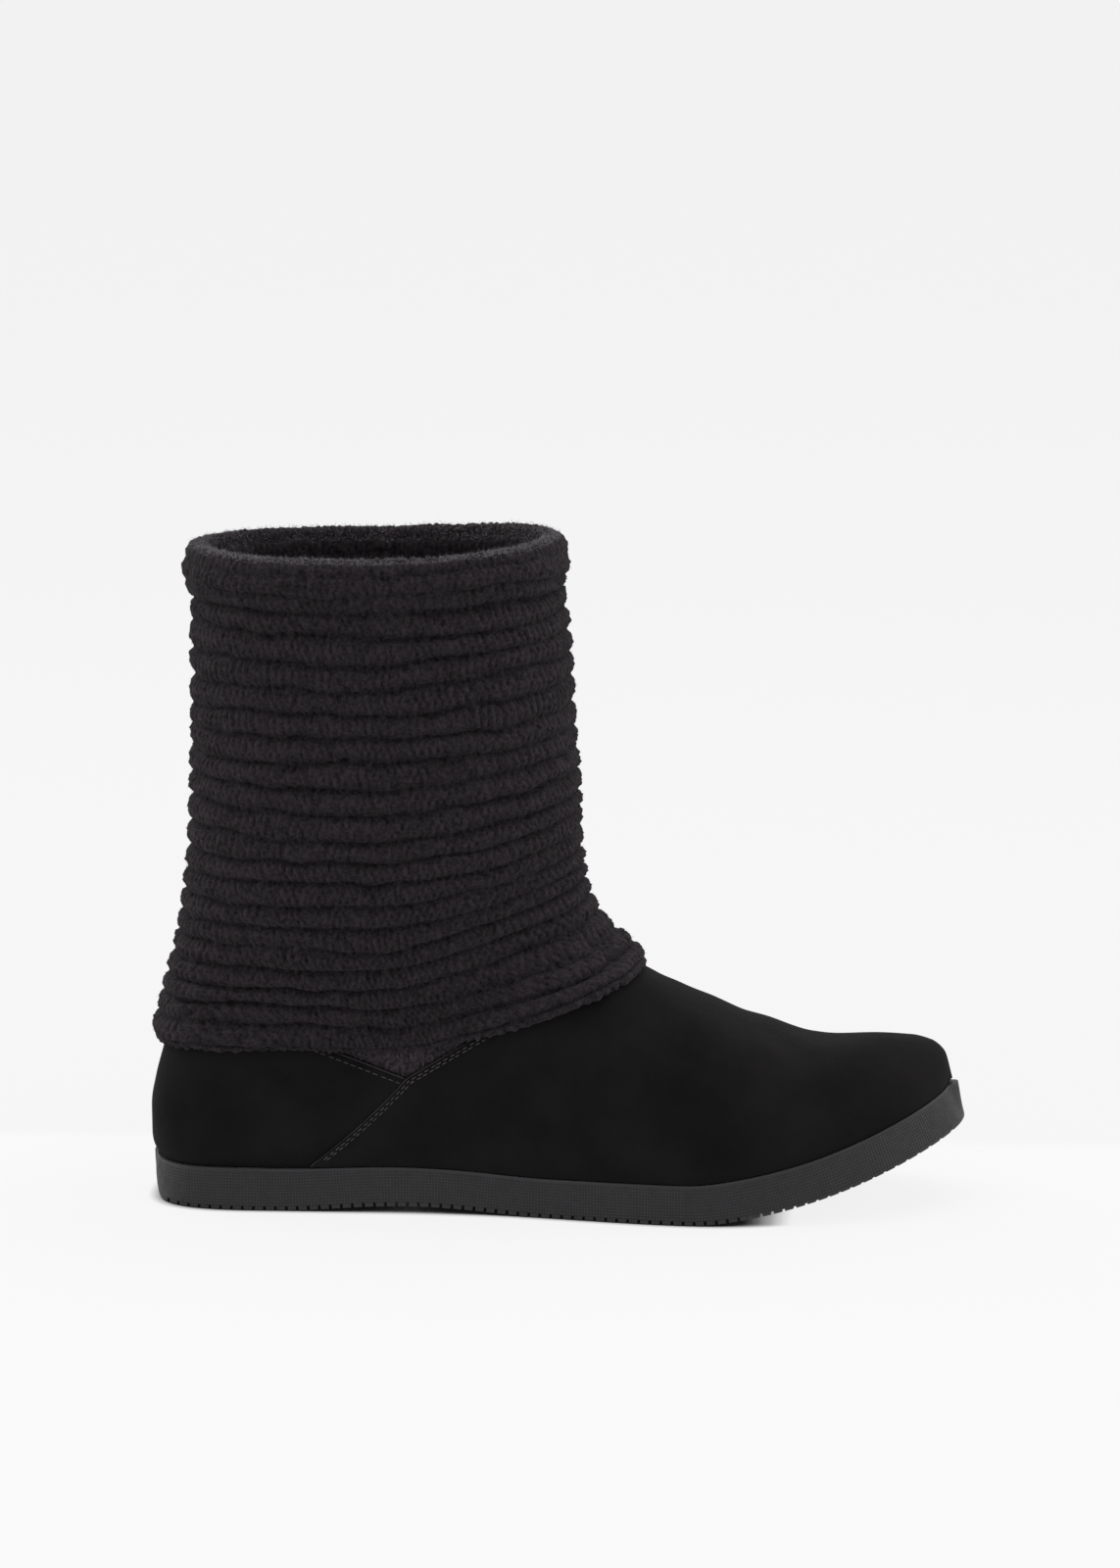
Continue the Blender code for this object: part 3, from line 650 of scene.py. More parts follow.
def creased_skin(inset):
    stations, arch = 220, 96
    grid = skin_grid(stations, arch, inset)
    shares = (1 - np.cos(np.pi * np.arange(stations + 1) / stations)) / 2
    rises = 1 - np.abs(1 - 2 * np.arange(arch + 1) / arch)
    share, rise = shares[:, None], rises[None, :]
    depth = np.zeros((stations + 1, arch + 1))
    for place, lean, width, deep, height, fade in CREASES:
        line = place - lean * (1 - rise)
        trough = np.exp(-(((share - line) / width) ** 2))
        depth += deep * MM * trough * np.exp(-(((rise - height) / fade) ** 2))
    across = np.gradient(grid, axis=1)
    down = np.gradient(grid, axis=0)
    normal = np.cross(across, down)
    normal /= np.maximum(np.linalg.norm(normal, axis=2, keepdims=True), 1e-12)
    outward = np.sign((normal * (grid - grid.mean(axis=(0, 1)))).sum(axis=2).mean())
    calm = np.minimum(1, np.minimum(share, 1 - share) / 0.02)
    return grid - normal * outward * (depth * calm)[..., None]


def seam_x(z):
    """Where the vamp's edge crosses this height, seen from the side."""
    foot_x, top = along(SEAM_FOOT_SHARE), along(SEAM_TOP_SHARE)
    rise = (z - SEAM_FOOT_HEIGHT) / (SEAM_TOP_HEIGHT - SEAM_FOOT_HEIGHT)
    bow = SEAM_BOW * 1.4 * 4 * rise * (1 - rise) if 0 < rise < 1 else 0.0
    return foot_x + rise * (top - foot_x) + bow


def cut_skin(work, grid_place, keep):
    """Cuts the skin along the line where keep(x, z) is 0, and leaves the side where it is above 0."""
    stored = work.verts.layers.float_vector.get("stored")
    for v in work.verts:
        v[stored] = v.co
        v.co = Vector((keep(v.co.x, v.co.z), *v[grid_place].xy))
    geometry = [*work.verts, *work.edges, *work.faces]
    bmesh.ops.bisect_plane(
        work, geom=geometry, dist=1e-7, plane_co=(0, 0, 0), plane_no=(1, 0, 0), clear_inner=True, clear_outer=False
    )
    for v in work.verts:
        v.co = v[stored]


def suede_piece(name, grid, keeps, thickness):
    """A panel of the suede: the skin where every keep is above 0, given its thickness inwards."""
    rows, columns = grid.shape[:2]
    mesh = bpy.data.meshes.new(name)
    mesh.from_pydata(grid.reshape(-1, 3).tolist(), [], grid_quads(rows, columns).tolist())
    work = bmesh.new()
    work.from_mesh(mesh)
    stored = work.verts.layers.float_vector.new("stored")
    grid_place = work.verts.layers.float_vector.new("grid_place")
    work.verts.ensure_lookup_table()
    for i, v in enumerate(work.verts):
        v[grid_place] = Vector((i // columns, i % columns, 0))
    for keep in keeps:
        cut_skin(work, grid_place, keep)
    bmesh.ops.recalc_face_normals(work, faces=work.faces)
    middle = Vector(grid.mean(axis=(0, 1)))
    outward = sum(f.normal.dot(f.calc_center_median() - middle) for f in work.faces)
    if outward < 0:
        bmesh.ops.reverse_faces(work, faces=work.faces)
    work.verts.layers.float_vector.remove(stored)
    work.verts.layers.float_vector.remove(work.verts.layers.float_vector.get("grid_place"))
    work.to_mesh(mesh)
    work.free()
    mesh.materials.append(suede)
    mesh.shade_smooth()
    made = bpy.data.objects.new(name, mesh)
    bpy.context.scene.collection.objects.link(made)
    thick = made.modifiers.new("thickness", "SOLIDIFY")
    thick.thickness = thickness
    thick.offset = -1
    thick.use_even_offset = False
    mesh.set_sharp_from_angle(angle=math.radians(60))
    return wear(made, "upper")


vamp_skin = creased_skin(0.0)
quarter_skin = creased_skin(VAMP_STEP)
vamp_tree = tree_of(vamp_skin)
quarter_tree = tree_of(quarter_skin)
LAP = 3.5 * MM
suede_piece(
    "vamp",
    vamp_skin,
    (lambda x, z: x - seam_x(z), lambda x, z: collar_height(x) - z),
    SUEDE,
)
suede_piece(
    "heel_quarter",
    quarter_skin,
    (lambda x, z: seam_x(z) + LAP - x, lambda x, z: collar_height(x) - z - 0.2 * MM),
    SUEDE,
)


def skin_hit(tree, x, z, side, lift):
    """The point of the skin beside this place in the middle plane, raised square to it."""
    way = Vector((0, side, 0))
    hit, normal, _, _ = tree.ray_cast(Vector((x, 0, z)), way)
    if hit is None:
        return None
    if normal.dot(way) < 0:
        normal = -normal
    return hit + normal * lift


def tube(paths, radius, sides):
    """Points and faces of round cords along these runs of points, with closed ends."""
    points, faces = [], []
    for path in paths:
        start = len(points)
        for i, p in enumerate(path):
            ahead_ = path[min(i + 1, len(path) - 1)] - path[max(i - 1, 0)]
            ahead_.normalize()
            across = ahead_.cross(Vector((0.3, 0.2, 1.0))).normalized()
            over = ahead_.cross(across)
            taper = 0.55 if i in (0, len(path) - 1) else 1.0
            for k in range(sides):
                turn = 2 * math.pi * k / sides
                points.append(p + (across * math.cos(turn) + over * math.sin(turn)) * radius * taper)
        for i in range(len(path) - 1):
            for k in range(sides):
                a, b = start + i * sides + k, start + i * sides + (k + 1) % sides
                faces.append((a, b, b + sides, a + sides))
        last = start + (len(path) - 1) * sides
        for ring in (start, last):
            for k in range(1, sides - 1, 2):
                faces.append((ring, ring + k, ring + k + 1, ring + (k + 2) % sides if k + 2 < sides else ring + k + 1))
    return points, faces


def cords(name, paths, radius, look, sides=6):
    points, faces = tube(paths, radius, sides)
    mesh = bpy.data.meshes.new(name)
    clean = [tuple(dict.fromkeys(f)) for f in faces]
    mesh.from_pydata([tuple(p) for p in points], [], [f for f in clean if len(f) > 2])
    mesh.materials.append(look)
    mesh.shade_smooth()
    made = bpy.data.objects.new(name, mesh)
    bpy.context.scene.collection.objects.link(made)
    return wear(made, "upper")


def side_line(tree, side, places, lift):
    """The line over the skin beside these places of the middle plane."""
    found = (skin_hit(tree, x, z, side, lift) for x, z in places)
    return [p for p in found if p is not None]


def edge_places(start, stop, count, inside):
    """Places along the vamp's edge, this far inside it: up the seam, then up the throat."""
    places = []
    for i in range(count):
        z = start + (stop - start) * i / (count - 1)
        if z < SEAM_TOP_HEIGHT:
            places.append((seam_x(z) + inside * 1.35, z))
        else:
            x = along(SEAM_TOP_SHARE) + (z - SEAM_TOP_HEIGHT) / THROAT_RISE
            places.append((x + inside * 0.55, z - inside * 0.85))
    return places


def quarter_places(start, stop, count, inside):
    """Places along the quarter's top edge, this far below it."""
    return [(x, collar_height(x) - inside) for x in np.linspace(start, stop, count)]


def dashes(line, pitch, length, lift):
    """Cuts a line over the skin into stitches, each with its ends sunk."""
    runs, travelled = [], [0.0]
    for a, b in zip(line, line[1:]):
        travelled.append(travelled[-1] + (b - a).length)

    def at(distance):
        for i in range(len(line) - 1):
            if travelled[i + 1] >= distance:
                part = (distance - travelled[i]) / max(travelled[i + 1] - travelled[i], 1e-9)
                return line[i].lerp(line[i + 1], part)
        return line[-1].copy()

    count = int(travelled[-1] / pitch)
    middle = sum(line, Vector()) / len(line)
    outwards = Vector((0, 1 if middle.y > 0 else -1, 0.25)).normalized()
    for n in range(count):
        begin = (n + 0.15) * pitch + float(rng.uniform(-0.1, 0.1)) * pitch
        run = []
        for k, up in enumerate((-0.9, 0.7, 1.0, 0.7, -0.9)):
            run.append(at(begin + length * k / 4) + outwards * lift * up)
        runs.append(run)
    return runs


edge_lines, stitch_runs = [], []
for side in (-1, 1):
    edge_lines.append(side_line(vamp_tree, side, edge_places(14.7 * MM, 66 * MM, 90, 0.05 * MM), -0.38 * MM))
    edge_lines.append(
        side_line(quarter_tree, side, quarter_places(-22 * MM, along(SEAM_TOP_SHARE), 60, 0.35 * MM), -0.25 * MM)
    )
    for inside in (0.9 * MM, 1.8 * MM):
        line = side_line(vamp_tree, side, edge_places(17 * MM, 66 * MM, 90, inside), 0.0)
        stitch_runs += dashes(line, 2.5 * MM, 1.8 * MM, 0.16 * MM)
    line = side_line(quarter_tree, side, quarter_places(-20 * MM, along(SEAM_TOP_SHARE) - MM, 60, 2.4 * MM), 0.0)
    stitch_runs += dashes(line, 2.6 * MM, 1.9 * MM, 0.16 * MM)
# The cut edges' lighter colour is partly a painted highlight.
cords("cut_edges", edge_lines, 0.3 * MM, suede_edge)
cords("stitches", stitch_runs, 0.17 * MM, thread)


# The knit's coarse rows, in order. The lap behind the suede is (how far down, how far proud in mm), then the
# lining by how far down it is, the rim by degrees of its arc, and the hem's roll by (depth, drop) in mm.
LAP = (
    (0.70, 0.0), (0.80, 0.0), (0.87, 1.4), (0.92, 1.9), (0.95, 2.0), (0.97, 2.0), (0.985, 1.7), (0.995, 1.0),
    (1.02, 0.2), (1.25, 0.0), (1.60, 0.0), (1.95, 0.0), (2.00, -1.2),
)
LINING = (2.0, 1.6, 1.25, 1.0, 0.95, 0.9, 0.85, 0.8, 0.73, 0.66, 0.58, 0.5, 0.4, 0.3, 0.2, 0.1, 0.0)
RIM_ARC = (195, 172, 149, 126, 103, 80, 57, 34, 11, -12, -35)
CUFF_ROWS = 60
HEM_ROLL = ((1.0, 0.9), (1.8, 1.3), (2.6, 1.3), (3.3, 0.9), (3.6, 0.0), (3.6, -4.0), (3.6, -9.0))
HEM_LEVEL = 0.985
RIM_CORNER = 1.0 * MM
LAP_FINE, LINING_FINE, RIM_FINE, HEM_FINE = 44, 64, 40, 18


def knit_sheet():
    """The knitted sheet's face on a coarse grid: down behind the suede, up the lining, over the rim, to the hem."""
    tree = tree_of(skin_grid(30, 16, 0.0))
    turns = 96
    levels = np.linspace(0, 1, 41)
    columns = []
    for i in range(turns):
        angle = 2 * math.pi * i / turns
        heights = [cuff_reach(tree, level, angle)[2] for level in levels]
        column = [lining_point(tree, down, angle, -proud * MM, heights, levels) for down, proud in LAP]
        column += [lining_point(tree, down, angle, KNIT, heights, levels) for down in LINING]
        rim_out, rim_in = cuff_point(tree, 0.0, angle, 0.0), column[-1]
        rim_out += Vector((math.cos(angle), math.sin(angle), 0)) * ROLL_BULGE
        over = (rim_out + rim_in) / 2 + Vector((0, 0, ROLL / 2))
        across = (rim_out - rim_in) / 2
        corner = RIM_CORNER * abs(math.cos(angle)) ** 3
        for degrees in RIM_ARC:
            lean = math.radians(degrees)
            column.append(over + across * math.cos(lean) + Vector((0, 0, (ROLL / 2 + corner) * math.sin(lean))))
        for level in np.linspace(0.012, HEM_LEVEL, CUFF_ROWS):
            column.append(cuff_point(tree, level, angle, RIDGE * 0.55))
        edge = column[-1].copy()
        downwards = (edge - column[-4]).normalized()
        outwards = Vector((math.cos(angle), math.sin(angle), 0))
        inwards = (downwards * outwards.dot(downwards) - outwards).normalized()
        for depth, drop in HEM_ROLL:
            column.append(edge + inwards * depth * MM + downwards * drop * MM)
        columns.append([tuple(p) for p in column])
    return np.array(columns).transpose(1, 0, 2)


base = knit_sheet()
lining_start = len(LAP)
rim_start = lining_start + len(LINING) - 1
cuff_start = rim_start + 1 + len(RIM_ARC)
hem_start = cuff_start + CUFF_ROWS - 1
fine_rows = np.concatenate(
    [
        np.linspace(0, lining_start, LAP_FINE, endpoint=False),
        np.linspace(lining_start, rim_start, LINING_FINE, endpoint=False),
        np.linspace(rim_start, cuff_start, RIM_FINE, endpoint=False),
        np.linspace(cuff_start, hem_start, RIDGES * RIDGE_SAMPLES, endpoint=False),
        np.linspace(hem_start, len(base) - 1, HEM_FINE),
    ]
)
fine_columns = np.arange(STITCHES * STITCH_SAMPLES) * (base.shape[1] / (STITCHES * STITCH_SAMPLES))
sheet = spline_round(spline_rows(base, fine_rows), fine_columns)
rows, columns = sheet.shape[:2]

steps = np.linalg.norm(np.diff(sheet.mean(axis=1), axis=0), axis=1) + np.abs(
    np.diff(np.linalg.norm(sheet - sheet.mean(axis=1, keepdims=True), axis=2).mean(axis=1))
)
travel = np.concatenate([[0.0], np.cumsum(steps)])
first_rim_row = LAP_FINE + LINING_FINE
first_cuff_row = first_rim_row + RIM_FINE
last_cuff_row = first_cuff_row + RIDGES * RIDGE_SAMPLES
ridge_count = np.empty(rows)
ridge_count[first_cuff_row:last_cuff_row] = np.arange(RIDGES * RIDGE_SAMPLES) / RIDGE_SAMPLES
RIDGE_PITCH = 7.7 * MM
ridge_count[:first_cuff_row] = (travel[:first_cuff_row] - travel[first_cuff_row]) / RIDGE_PITCH
ridge_count[last_cuff_row:] = RIDGES + (travel[last_cuff_row:] - travel[last_cuff_row]) / RIDGE_PITCH

around = np.gradient(np.concatenate([sheet[:, -1:], sheet, sheet[:, :1]], axis=1), axis=1)[:, 1:-1]
along_rows = np.gradient(sheet, axis=0)
normal = np.cross(around, along_rows)
normal /= np.maximum(np.linalg.norm(normal, axis=2, keepdims=True), 1e-12)
check_row = first_cuff_row + 60
facing = (normal[check_row] * (sheet[check_row] - sheet[check_row].mean(axis=0))).sum()
if facing < 0:
    normal = -normal

path = ridge_count[:, None] + 0.10 * wander(rows, columns, 20, 8) + 0.06 * wander(rows, columns, 60, 40)
phase = path - np.floor(path)
strength = np.interp(
    np.arange(rows),
    (0, LAP_FINE, first_rim_row, first_rim_row + 15, first_cuff_row - 8, first_cuff_row, last_cuff_row, rows - 1),
    (0.3, 0.3, 0.35, 0.45, 0.6, 1.0, 1.0, 0.3),
)
depth_change = 1 + 0.28 * wander(rows, columns, 26, 11)
ridge = 1 - np.abs(2 * phase - 1) ** 2.4
swell = RIDGE_SWELL * (ridge - 0.62) * depth_change * strength[:, None]
groove = np.exp(-((np.minimum(phase, 1 - phase) / 0.17) ** 2))
swell -= 0.25 * MM * groove * np.clip(0.7 + 0.6 * wander(rows, columns, 26, 12), 0.0, 1.7) * strength[:, None]

stitch_place = np.broadcast_to(np.arange(columns) / STITCH_SAMPLES, (rows, columns))
course_numbers = np.floor(path).astype(int) % 64
jitter = rng.uniform(0.4, 1.5, (64, 2, STITCHES))
drift = rng.uniform(-0.2, 0.2, (64, 2))
for course, (height, width, offset) in enumerate(((0.34, 0.13, 0.0), (0.66, 0.13, 0.5))):
    shifted = stitch_place + offset + drift[course_numbers, course]
    number = np.floor(shifted).astype(int) % STITCHES
    loop = np.sin(np.pi * (shifted - np.floor(shifted))) ** 1.6
    swell += (
        STITCH_SWELL
        * jitter[course_numbers, course, number]
        * (loop - 0.45)
        * np.exp(-(((phase - height) / width) ** 2))
        * np.clip(strength * 1.3, 0.6, 1)[:, None]
    )
# Painted shade: each point of the knit is coloured lighter where it stands high and darker where it lies low, between
# stitches and down the grooves, plus a little random grain of tone.
low, high = np.percentile(swell[first_cuff_row:last_cuff_row], (4, 97))
painted_shade_and_grain = 0.28 + 0.48 * np.clip((swell - low) / (high - low), 0, 1)
grain = wander(rows, columns, rows // 3, STITCHES * 2)
painted_shade_and_grain = np.clip(painted_shade_and_grain + 0.08 * grain, 0, 1)
swell += 0.13 * MM * grain
swell += 0.5 * MM * wander(rows, columns, 9, 7) * np.clip(strength, 0.25, 1)[:, None]
swell += 0.15 * MM * rng.standard_normal((rows, columns))
settled = np.clip(np.minimum(np.arange(rows) / 6, (rows - 1 - np.arange(rows)) / 6), 0, 1)
surface = sheet + normal * (swell * settled[:, None])[..., None]
uv = np.stack([stitch_place, path], axis=-1)



def knit_piece(name, low, high, look, every=1):
    """A band of the knit between two of its rows, with its share of the columns."""
    part, part_uv, part_shade_and_grain = (grid[low : high + 1, ::every] for grid in (surface, uv, painted_shade_and_grain))
    faces = grid_quads(*part.shape[:2], closed=True)
    made = add_mesh(name, part, faces, [look], part_uv)
    made.data.attributes.new("painted_shade_and_grain", "FLOAT", "POINT").data.foreach_set("value", part_shade_and_grain.ravel())
    return wear(made, "knit_shaft")


# The lap wears the knit painted lighter, to lift the shade that falls on it.
knit_piece("knit_lap", 0, LAP_FINE, knit_with_painted_light)
knit_piece("knit_lining", LAP_FINE, first_rim_row + 2, knit, every=2)
knit_piece("knit_rim", first_rim_row, first_cuff_row + 3 * RIDGE_SAMPLES, knit)
knit_piece("knit_cuff_upper", first_cuff_row + 3 * RIDGE_SAMPLES, first_cuff_row + 10 * RIDGE_SAMPLES, knit)
knit_piece("knit_cuff_middle", first_cuff_row + 10 * RIDGE_SAMPLES, first_cuff_row + 15 * RIDGE_SAMPLES, knit)
knit_piece("knit_cuff_lower", first_cuff_row + 15 * RIDGE_SAMPLES, rows - 1, knit)


def fuzz(name, look, low, high, count, longest, upright, least_far=1.0):
    """Loose fibres that stand off these rows of the knit, each two bends long, and fewer on the far side."""
    weight = np.linalg.norm(np.cross(around, along_rows), axis=2)[low:high]
    beside = np.sin(2 * np.pi * np.arange(columns) / columns)
    weight = (weight * np.clip(0.4 - beside, least_far, 1.0)).ravel()
    picked = rng.choice(weight.size, count, p=weight / weight.sum())
    r, c = picked // columns + low, picked % columns
    root, out = surface[r, c], normal[r, c]
    sideways = around[r, c] / np.linalg.norm(around[r, c], axis=1, keepdims=True)
    lengthways = np.cross(out, sideways)
    way = rng.uniform(0, 2 * np.pi, count)
    flat = sideways * np.cos(way)[:, None] + lengthways * np.sin(way)[:, None]
    stand = rng.uniform(0.15, upright, count)[:, None] ** 1.5
    length = rng.uniform(0.35, 1.0, count)[:, None] * longest
    first = flat + out * stand
    first /= np.linalg.norm(first, axis=1, keepdims=True)
    second = first + 0.9 * rng.standard_normal((count, 3)) + out * 0.15
    second /= np.linalg.norm(second, axis=1, keepdims=True)
    bend = root - out * 0.1 * MM + first * length * 0.6
    tip = bend + second * length * 0.5
    thick = np.cross(first, rng.standard_normal((count, 3)))
    thick *= 0.045 * MM / np.maximum(np.linalg.norm(thick, axis=1, keepdims=True), 1e-9)
    start = root - out * 0.1 * MM
    points = np.stack([start - thick, start + thick, bend + thick * 0.8, bend - thick * 0.8, tip], axis=1)
    first_of = np.arange(count)[:, None] * 5
    quads, ends = first_of + np.array([0, 1, 2, 3]), first_of + np.array([3, 2, 4])
    mesh = bpy.data.meshes.new(name)
    mesh.from_pydata(points.reshape(-1, 3).tolist(), [], quads.tolist() + ends.tolist())
    mesh.materials.append(look)
    made = bpy.data.objects.new(name, mesh)
    bpy.context.scene.collection.objects.link(made)
    return wear(made, "knit_shaft")


fuzz("knit_fuzz", fibre, LAP_FINE + 40, rows - 6, FIBRES, 1.5 * MM, 1.0)
# The rim's fuzz carries the painted highlight of the bright line along the rim.
fuzz("rim_fuzz", rim_fibre_painted_highlight, first_rim_row + 9, first_rim_row + 24, RIM_FIBRES, 2.0 * MM, 1.3, 0.3)


def face_out(mesh):
    work = bmesh.new()
    work.from_mesh(mesh)
    bmesh.ops.recalc_face_normals(work, faces=work.faces)
    work.to_mesh(mesh)
    work.free()


def sole_slab(name, levels, looks, look_of_level, points_round=420):
    """A solid in the shape of the sole, from (height above the tread, inset) at each level."""
    points, uv_rows = [], []
    travelled = 0.0
    lengths = []
    previous = None
    for i in range(points_round):
        here = outline(2 * math.pi * i / points_round)
        if previous is not None:
            travelled += float(np.linalg.norm(here - previous))
        lengths.append(travelled)
        previous = here
    for height, inset in levels:
        for i in range(points_round):
            turn = 2 * math.pi * i / points_round
            share = (1 - math.cos(turn)) / 2
            x, y = outline(turn, inset(share))
            up = height(share_of(x))
            points.append(on_sole(x, y, up))
            uv_rows.append((lengths[i] / KNURL, up / KNURL))
    faces, look_index = [], []
    for level in range(len(levels) - 1):
        for i in range(points_round):
            j = (i + 1) % points_round
            a, b = level * points_round, (level + 1) * points_round
            faces.append((a + i, a + j, b + j, b + i))
            look_index.append(look_of_level[level])
    half = points_round // 2
    for start in (0, (len(levels) - 1) * points_round):
        faces.append((start, start + 1, start + points_round - 1))
        faces += [
            (start + i, start + i + 1, start + points_round - i - 1, start + points_round - i)
            for i in range(1, half - 1)
        ]
        faces.append((start + half - 1, start + half, start + half + 1))
        look_index += [0] * half
    mesh = bpy.data.meshes.new(name)
    mesh.from_pydata([tuple(p) for p in points], [], faces)
    layer = mesh.uv_layers.new(name="wall")
    for loop in mesh.loops:
        layer.data[loop.index].uv = uv_rows[loop.vertex_index]
    for look in looks:
        mesh.materials.append(look)
    mesh.polygons.foreach_set("material_index", look_index)
    face_out(mesh)
    mesh.shade_smooth()
    mesh.set_sharp_from_angle(angle=math.radians(38))
    made = bpy.data.objects.new(name, mesh)
    bpy.context.scene.collection.objects.link(made)
    return made


def undercut(share):
    return HEEL_UNDERCUT * (1 - ease(share / HEEL_FLAT[1])) + 0.35 * MM * ease(share / HEEL_FLAT[1])


def at_height(part, more=0.0):
    return lambda s: thickness_at(s) * part + more


def leaning(part, more=0.0):
    """The side's inset at this part of its height: undercut at the foot of the heel, upright above."""
    return lambda s: undercut(s) * (1 - part) ** 2 + more


sole_levels = [
    (lambda s: 0.0, leaning(0.0, 0.4 * MM)),
    (lambda s: 0.2 * MM, leaning(0.0, 0.12 * MM)),
    (lambda s: 0.8 * MM, leaning(0.05)),
    (at_height(0.25), leaning(0.25)),
    (at_height(0.5), leaning(0.5)),
    (at_height(0.75), leaning(0.75)),
    (at_height(1.0, -0.8 * MM), leaning(1.0)),
    (at_height(1.0, -0.15 * MM), leaning(1.0, 0.25 * MM)),
    (at_height(1.0), leaning(1.0, 0.8 * MM)),
]
outsole = sole_slab("rubber_sole", sole_levels, [rubber, knurled_rubber], [0, 0, 1, 1, 1, 1, 0, 0])


def tread_bars():
    points, faces = [], []
    first = math.ceil(along(GROOVES_SPAN[0]) / GROOVE_PITCH - 0.5)
    last = math.floor(along(GROOVES_SPAN[1]) / GROOVE_PITCH - 0.5)
    for number in range(first, last + 1):
        middle = (number + 0.5) * GROOVE_PITCH
        start = len(points)
        depth = GROOVE_DEPTH * (1.25 - 0.95 * ease((share_of(middle) - 0.7) / 0.15))
        bottom, top = on_sole(middle, 0, -GROOVE_DEPTH), on_sole(middle, 0, depth)
        half = (on_sole(middle + MM, 0, 0) - on_sole(middle - MM, 0, 0)).normalized() * GROOVE_WIDTH / 2
        for y in (-90 * MM, 90 * MM):
            for corner in (bottom - half, bottom + half, top + half * 0.8, top - half * 0.8):
                points.append(corner + Vector((0, y, 0)))
        faces += [tuple(start + i for i in (3, 2, 1, 0)), tuple(start + i for i in (4, 5, 6, 7))]
        faces += [(start + i, start + (i + 1) % 4, start + 4 + (i + 1) % 4, start + 4 + i) for i in range(4)]
    mesh = bpy.data.meshes.new("tread_bars")
    mesh.from_pydata([tuple(p) for p in points], [], faces)
    face_out(mesh)
    made = bpy.data.objects.new("tread_bars", mesh)
    bpy.context.scene.collection.objects.link(made)
    return made


bars = tread_bars()
cutting = outsole.modifiers.new("tread", "BOOLEAN")
cutting.operation = "DIFFERENCE"
cutting.solver = "EXACT"
cutting.object = bars
bpy.context.view_layer.update()
cut_mesh = bpy.data.meshes.new_from_object(outsole.evaluated_get(bpy.context.evaluated_depsgraph_get()))
outsole.modifiers.clear()
outsole.data = cut_mesh
bpy.data.objects.remove(bars)
wear(outsole, "outsole")

INSOLE_EDGE = SOLE_LEDGE + VAMP_STEP + SUEDE + INSOLE_CLEARANCE


def insole_tuck(share):
    return INSOLE_EDGE + 2 * INSOLE_THICKNESS * ease((share - 0.9) / 0.1)


def above_sole(more):
    return lambda s: thickness_at(s) + CLEARANCE + more


insole_levels = [
    (above_sole(0.0), insole_tuck),
    (above_sole(INSOLE_THICKNESS - 0.9 * MM), insole_tuck),
    (above_sole(INSOLE_THICKNESS - 0.25 * MM), lambda s: insole_tuck(s) + 0.25 * MM),
    (above_sole(INSOLE_THICKNESS), lambda s: insole_tuck(s) + MM),
]
insole = sole_slab("inner_sole", insole_levels, [insole_cloth], [0, 0, 0], 200)
wear(insole, "insole")


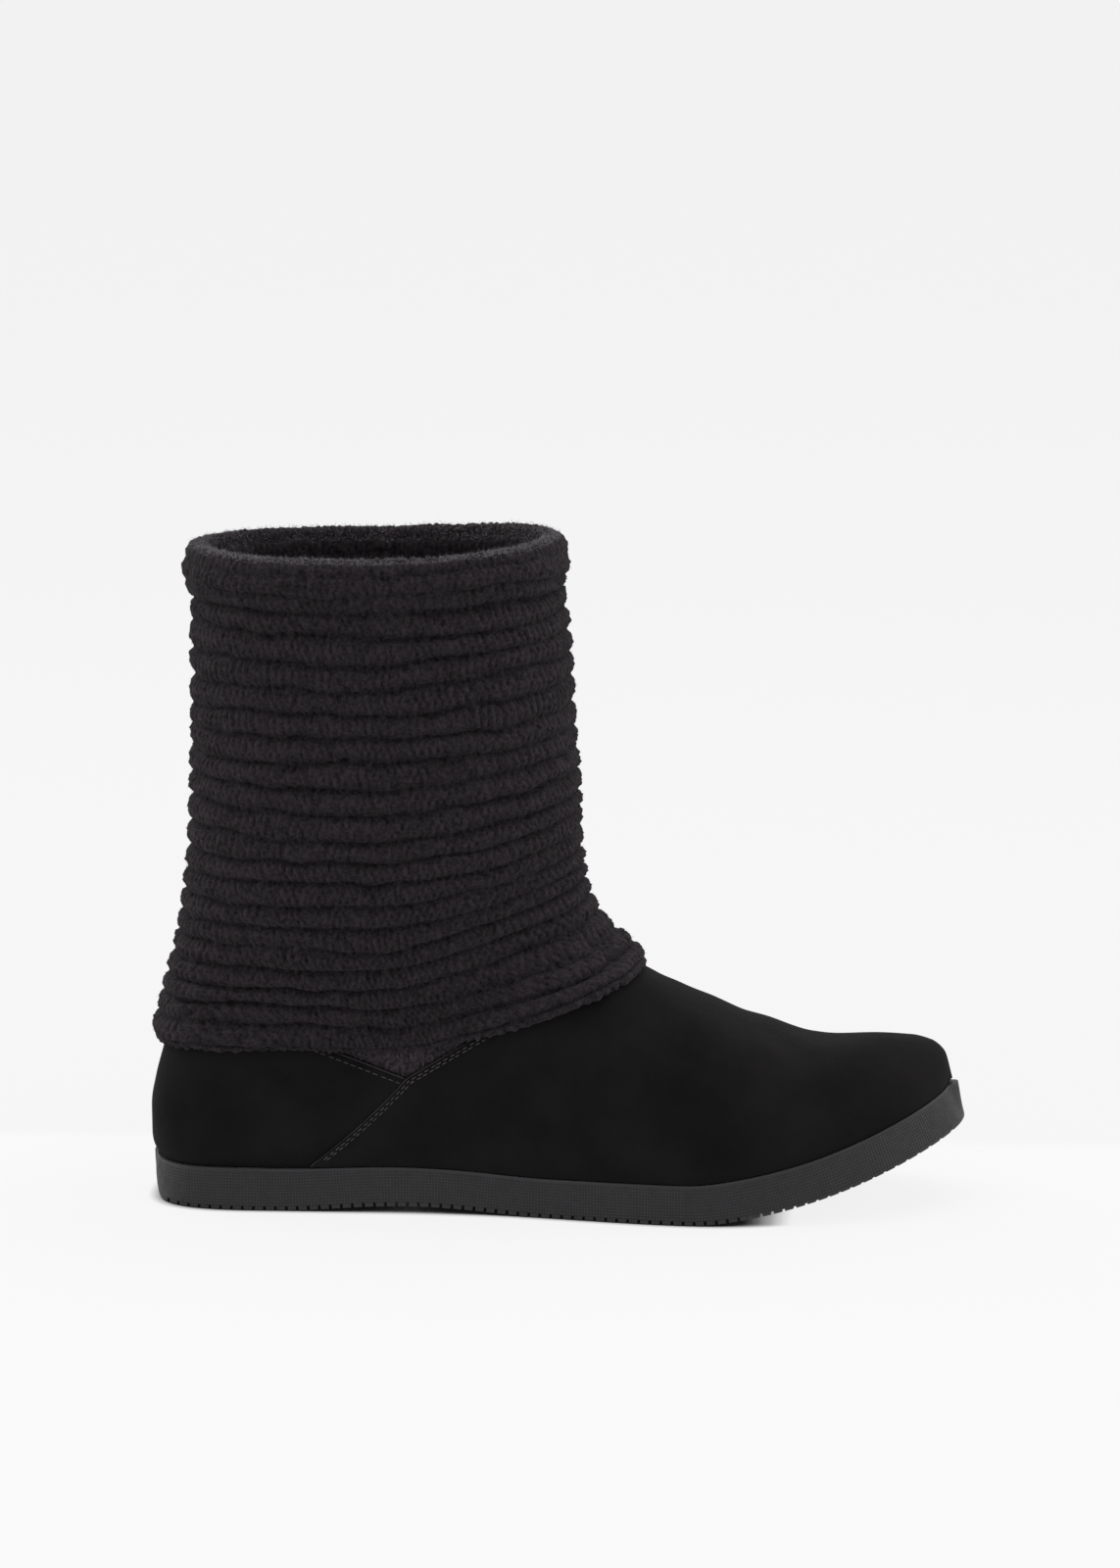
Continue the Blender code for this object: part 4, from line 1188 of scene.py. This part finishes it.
def floor_look():
    """A lit white sweep: it glows a little, so the boot's shadow on it stays faint, and its glow is dimmed close under
    the boot as a painted contact shadow.
    """
    look = Shader("floor", (0.07, 0.07, 0.07), 0.9, 0.0)
    parted = look.node("SeparateXYZ", Vector=look.place.outputs["Object"])
    behind_boot = look.ramp(parted.outputs["Y"], 0.0, 1.0, 0.080, 0.094)
    far_behind = look.ramp(parted.outputs["Y"], 0.0, 1.0, 0.3, 9.0)
    sweep = look.tint(behind_boot, (0.853, 0.852, 0.853), (0.822, 0.820, 0.822))
    far = look.tint(far_behind, sweep, (0.817, 0.816, 0.817))
    # Painted contact shadow: the glow fades to near black where the boot is close above or beside the floor.
    painted_contact_shadow = look.node("AmbientOcclusion", Distance=CONTACT_REACH).outputs["AO"]
    look.join(look.tint(look.ramp(painted_contact_shadow, 0.0, 1.0, 0.2, 0.8), (0.003, 0.003, 0.003), far), "Emission Color")
    look.set("Emission Strength", 1.0)
    return look.material


bpy.ops.mesh.primitive_plane_add(size=80, location=(0, 0, 0))
floor = bpy.context.object
floor.name = "floor"
floor.data.materials.append(floor_look())


def area_light(name, place, target, size, power):
    lamp = bpy.data.lights.new(name, "AREA")
    lamp.shape = "RECTANGLE"
    lamp.size, lamp.size_y = size
    lamp.energy = power
    made = bpy.data.objects.new(name, lamp)
    made.location = place
    made.rotation_euler = (Vector(target) - Vector(place)).to_track_quat("-Z", "Y").to_euler()
    bpy.context.scene.collection.objects.link(made)


area_light("overhead", (0.1, 0.15, 1.9), (0.1, 0.0, 0.0), (1.6, 1.6), 14.0)
area_light("left_back", (-1.4, 0.7, 0.9), (0.05, 0.0, 0.1), (0.9, 1.2), 8.0)
area_light("right_back", (1.6, 0.5, 0.7), (0.12, 0.0, 0.1), (0.9, 1.2), 6.0)

world = bpy.data.worlds.new("studio")
bpy.context.scene.world = world
world.use_nodes = True
world.node_tree.nodes["Background"].inputs["Color"].default_value = (1.0, 1.0, 1.0, 1.0)
world.node_tree.nodes["Background"].inputs["Strength"].default_value = 1.0

AZIMUTH, ELEVATION, DISTANCE = math.radians(3.0), math.radians(9.0), 2.25
TARGET = Vector((0.100, 0.0, 0.1363))
back = Vector(
    (
        math.sin(AZIMUTH) * math.cos(ELEVATION),
        -math.cos(AZIMUTH) * math.cos(ELEVATION),
        math.sin(ELEVATION),
    )
)
camera_data = bpy.data.cameras.new("camera")
camera_data.sensor_fit = "AUTO"
camera_data.sensor_width = 36.0
camera_data.lens = 7042.5 * 36.0 / 1600
camera = bpy.data.objects.new("camera", camera_data)
camera.location = TARGET + back * DISTANCE
camera.rotation_euler = back.to_track_quat("Z", "Y").to_euler()
bpy.context.scene.collection.objects.link(camera)
bpy.context.scene.camera = camera
bpy.context.scene.view_settings.view_transform = "Standard"
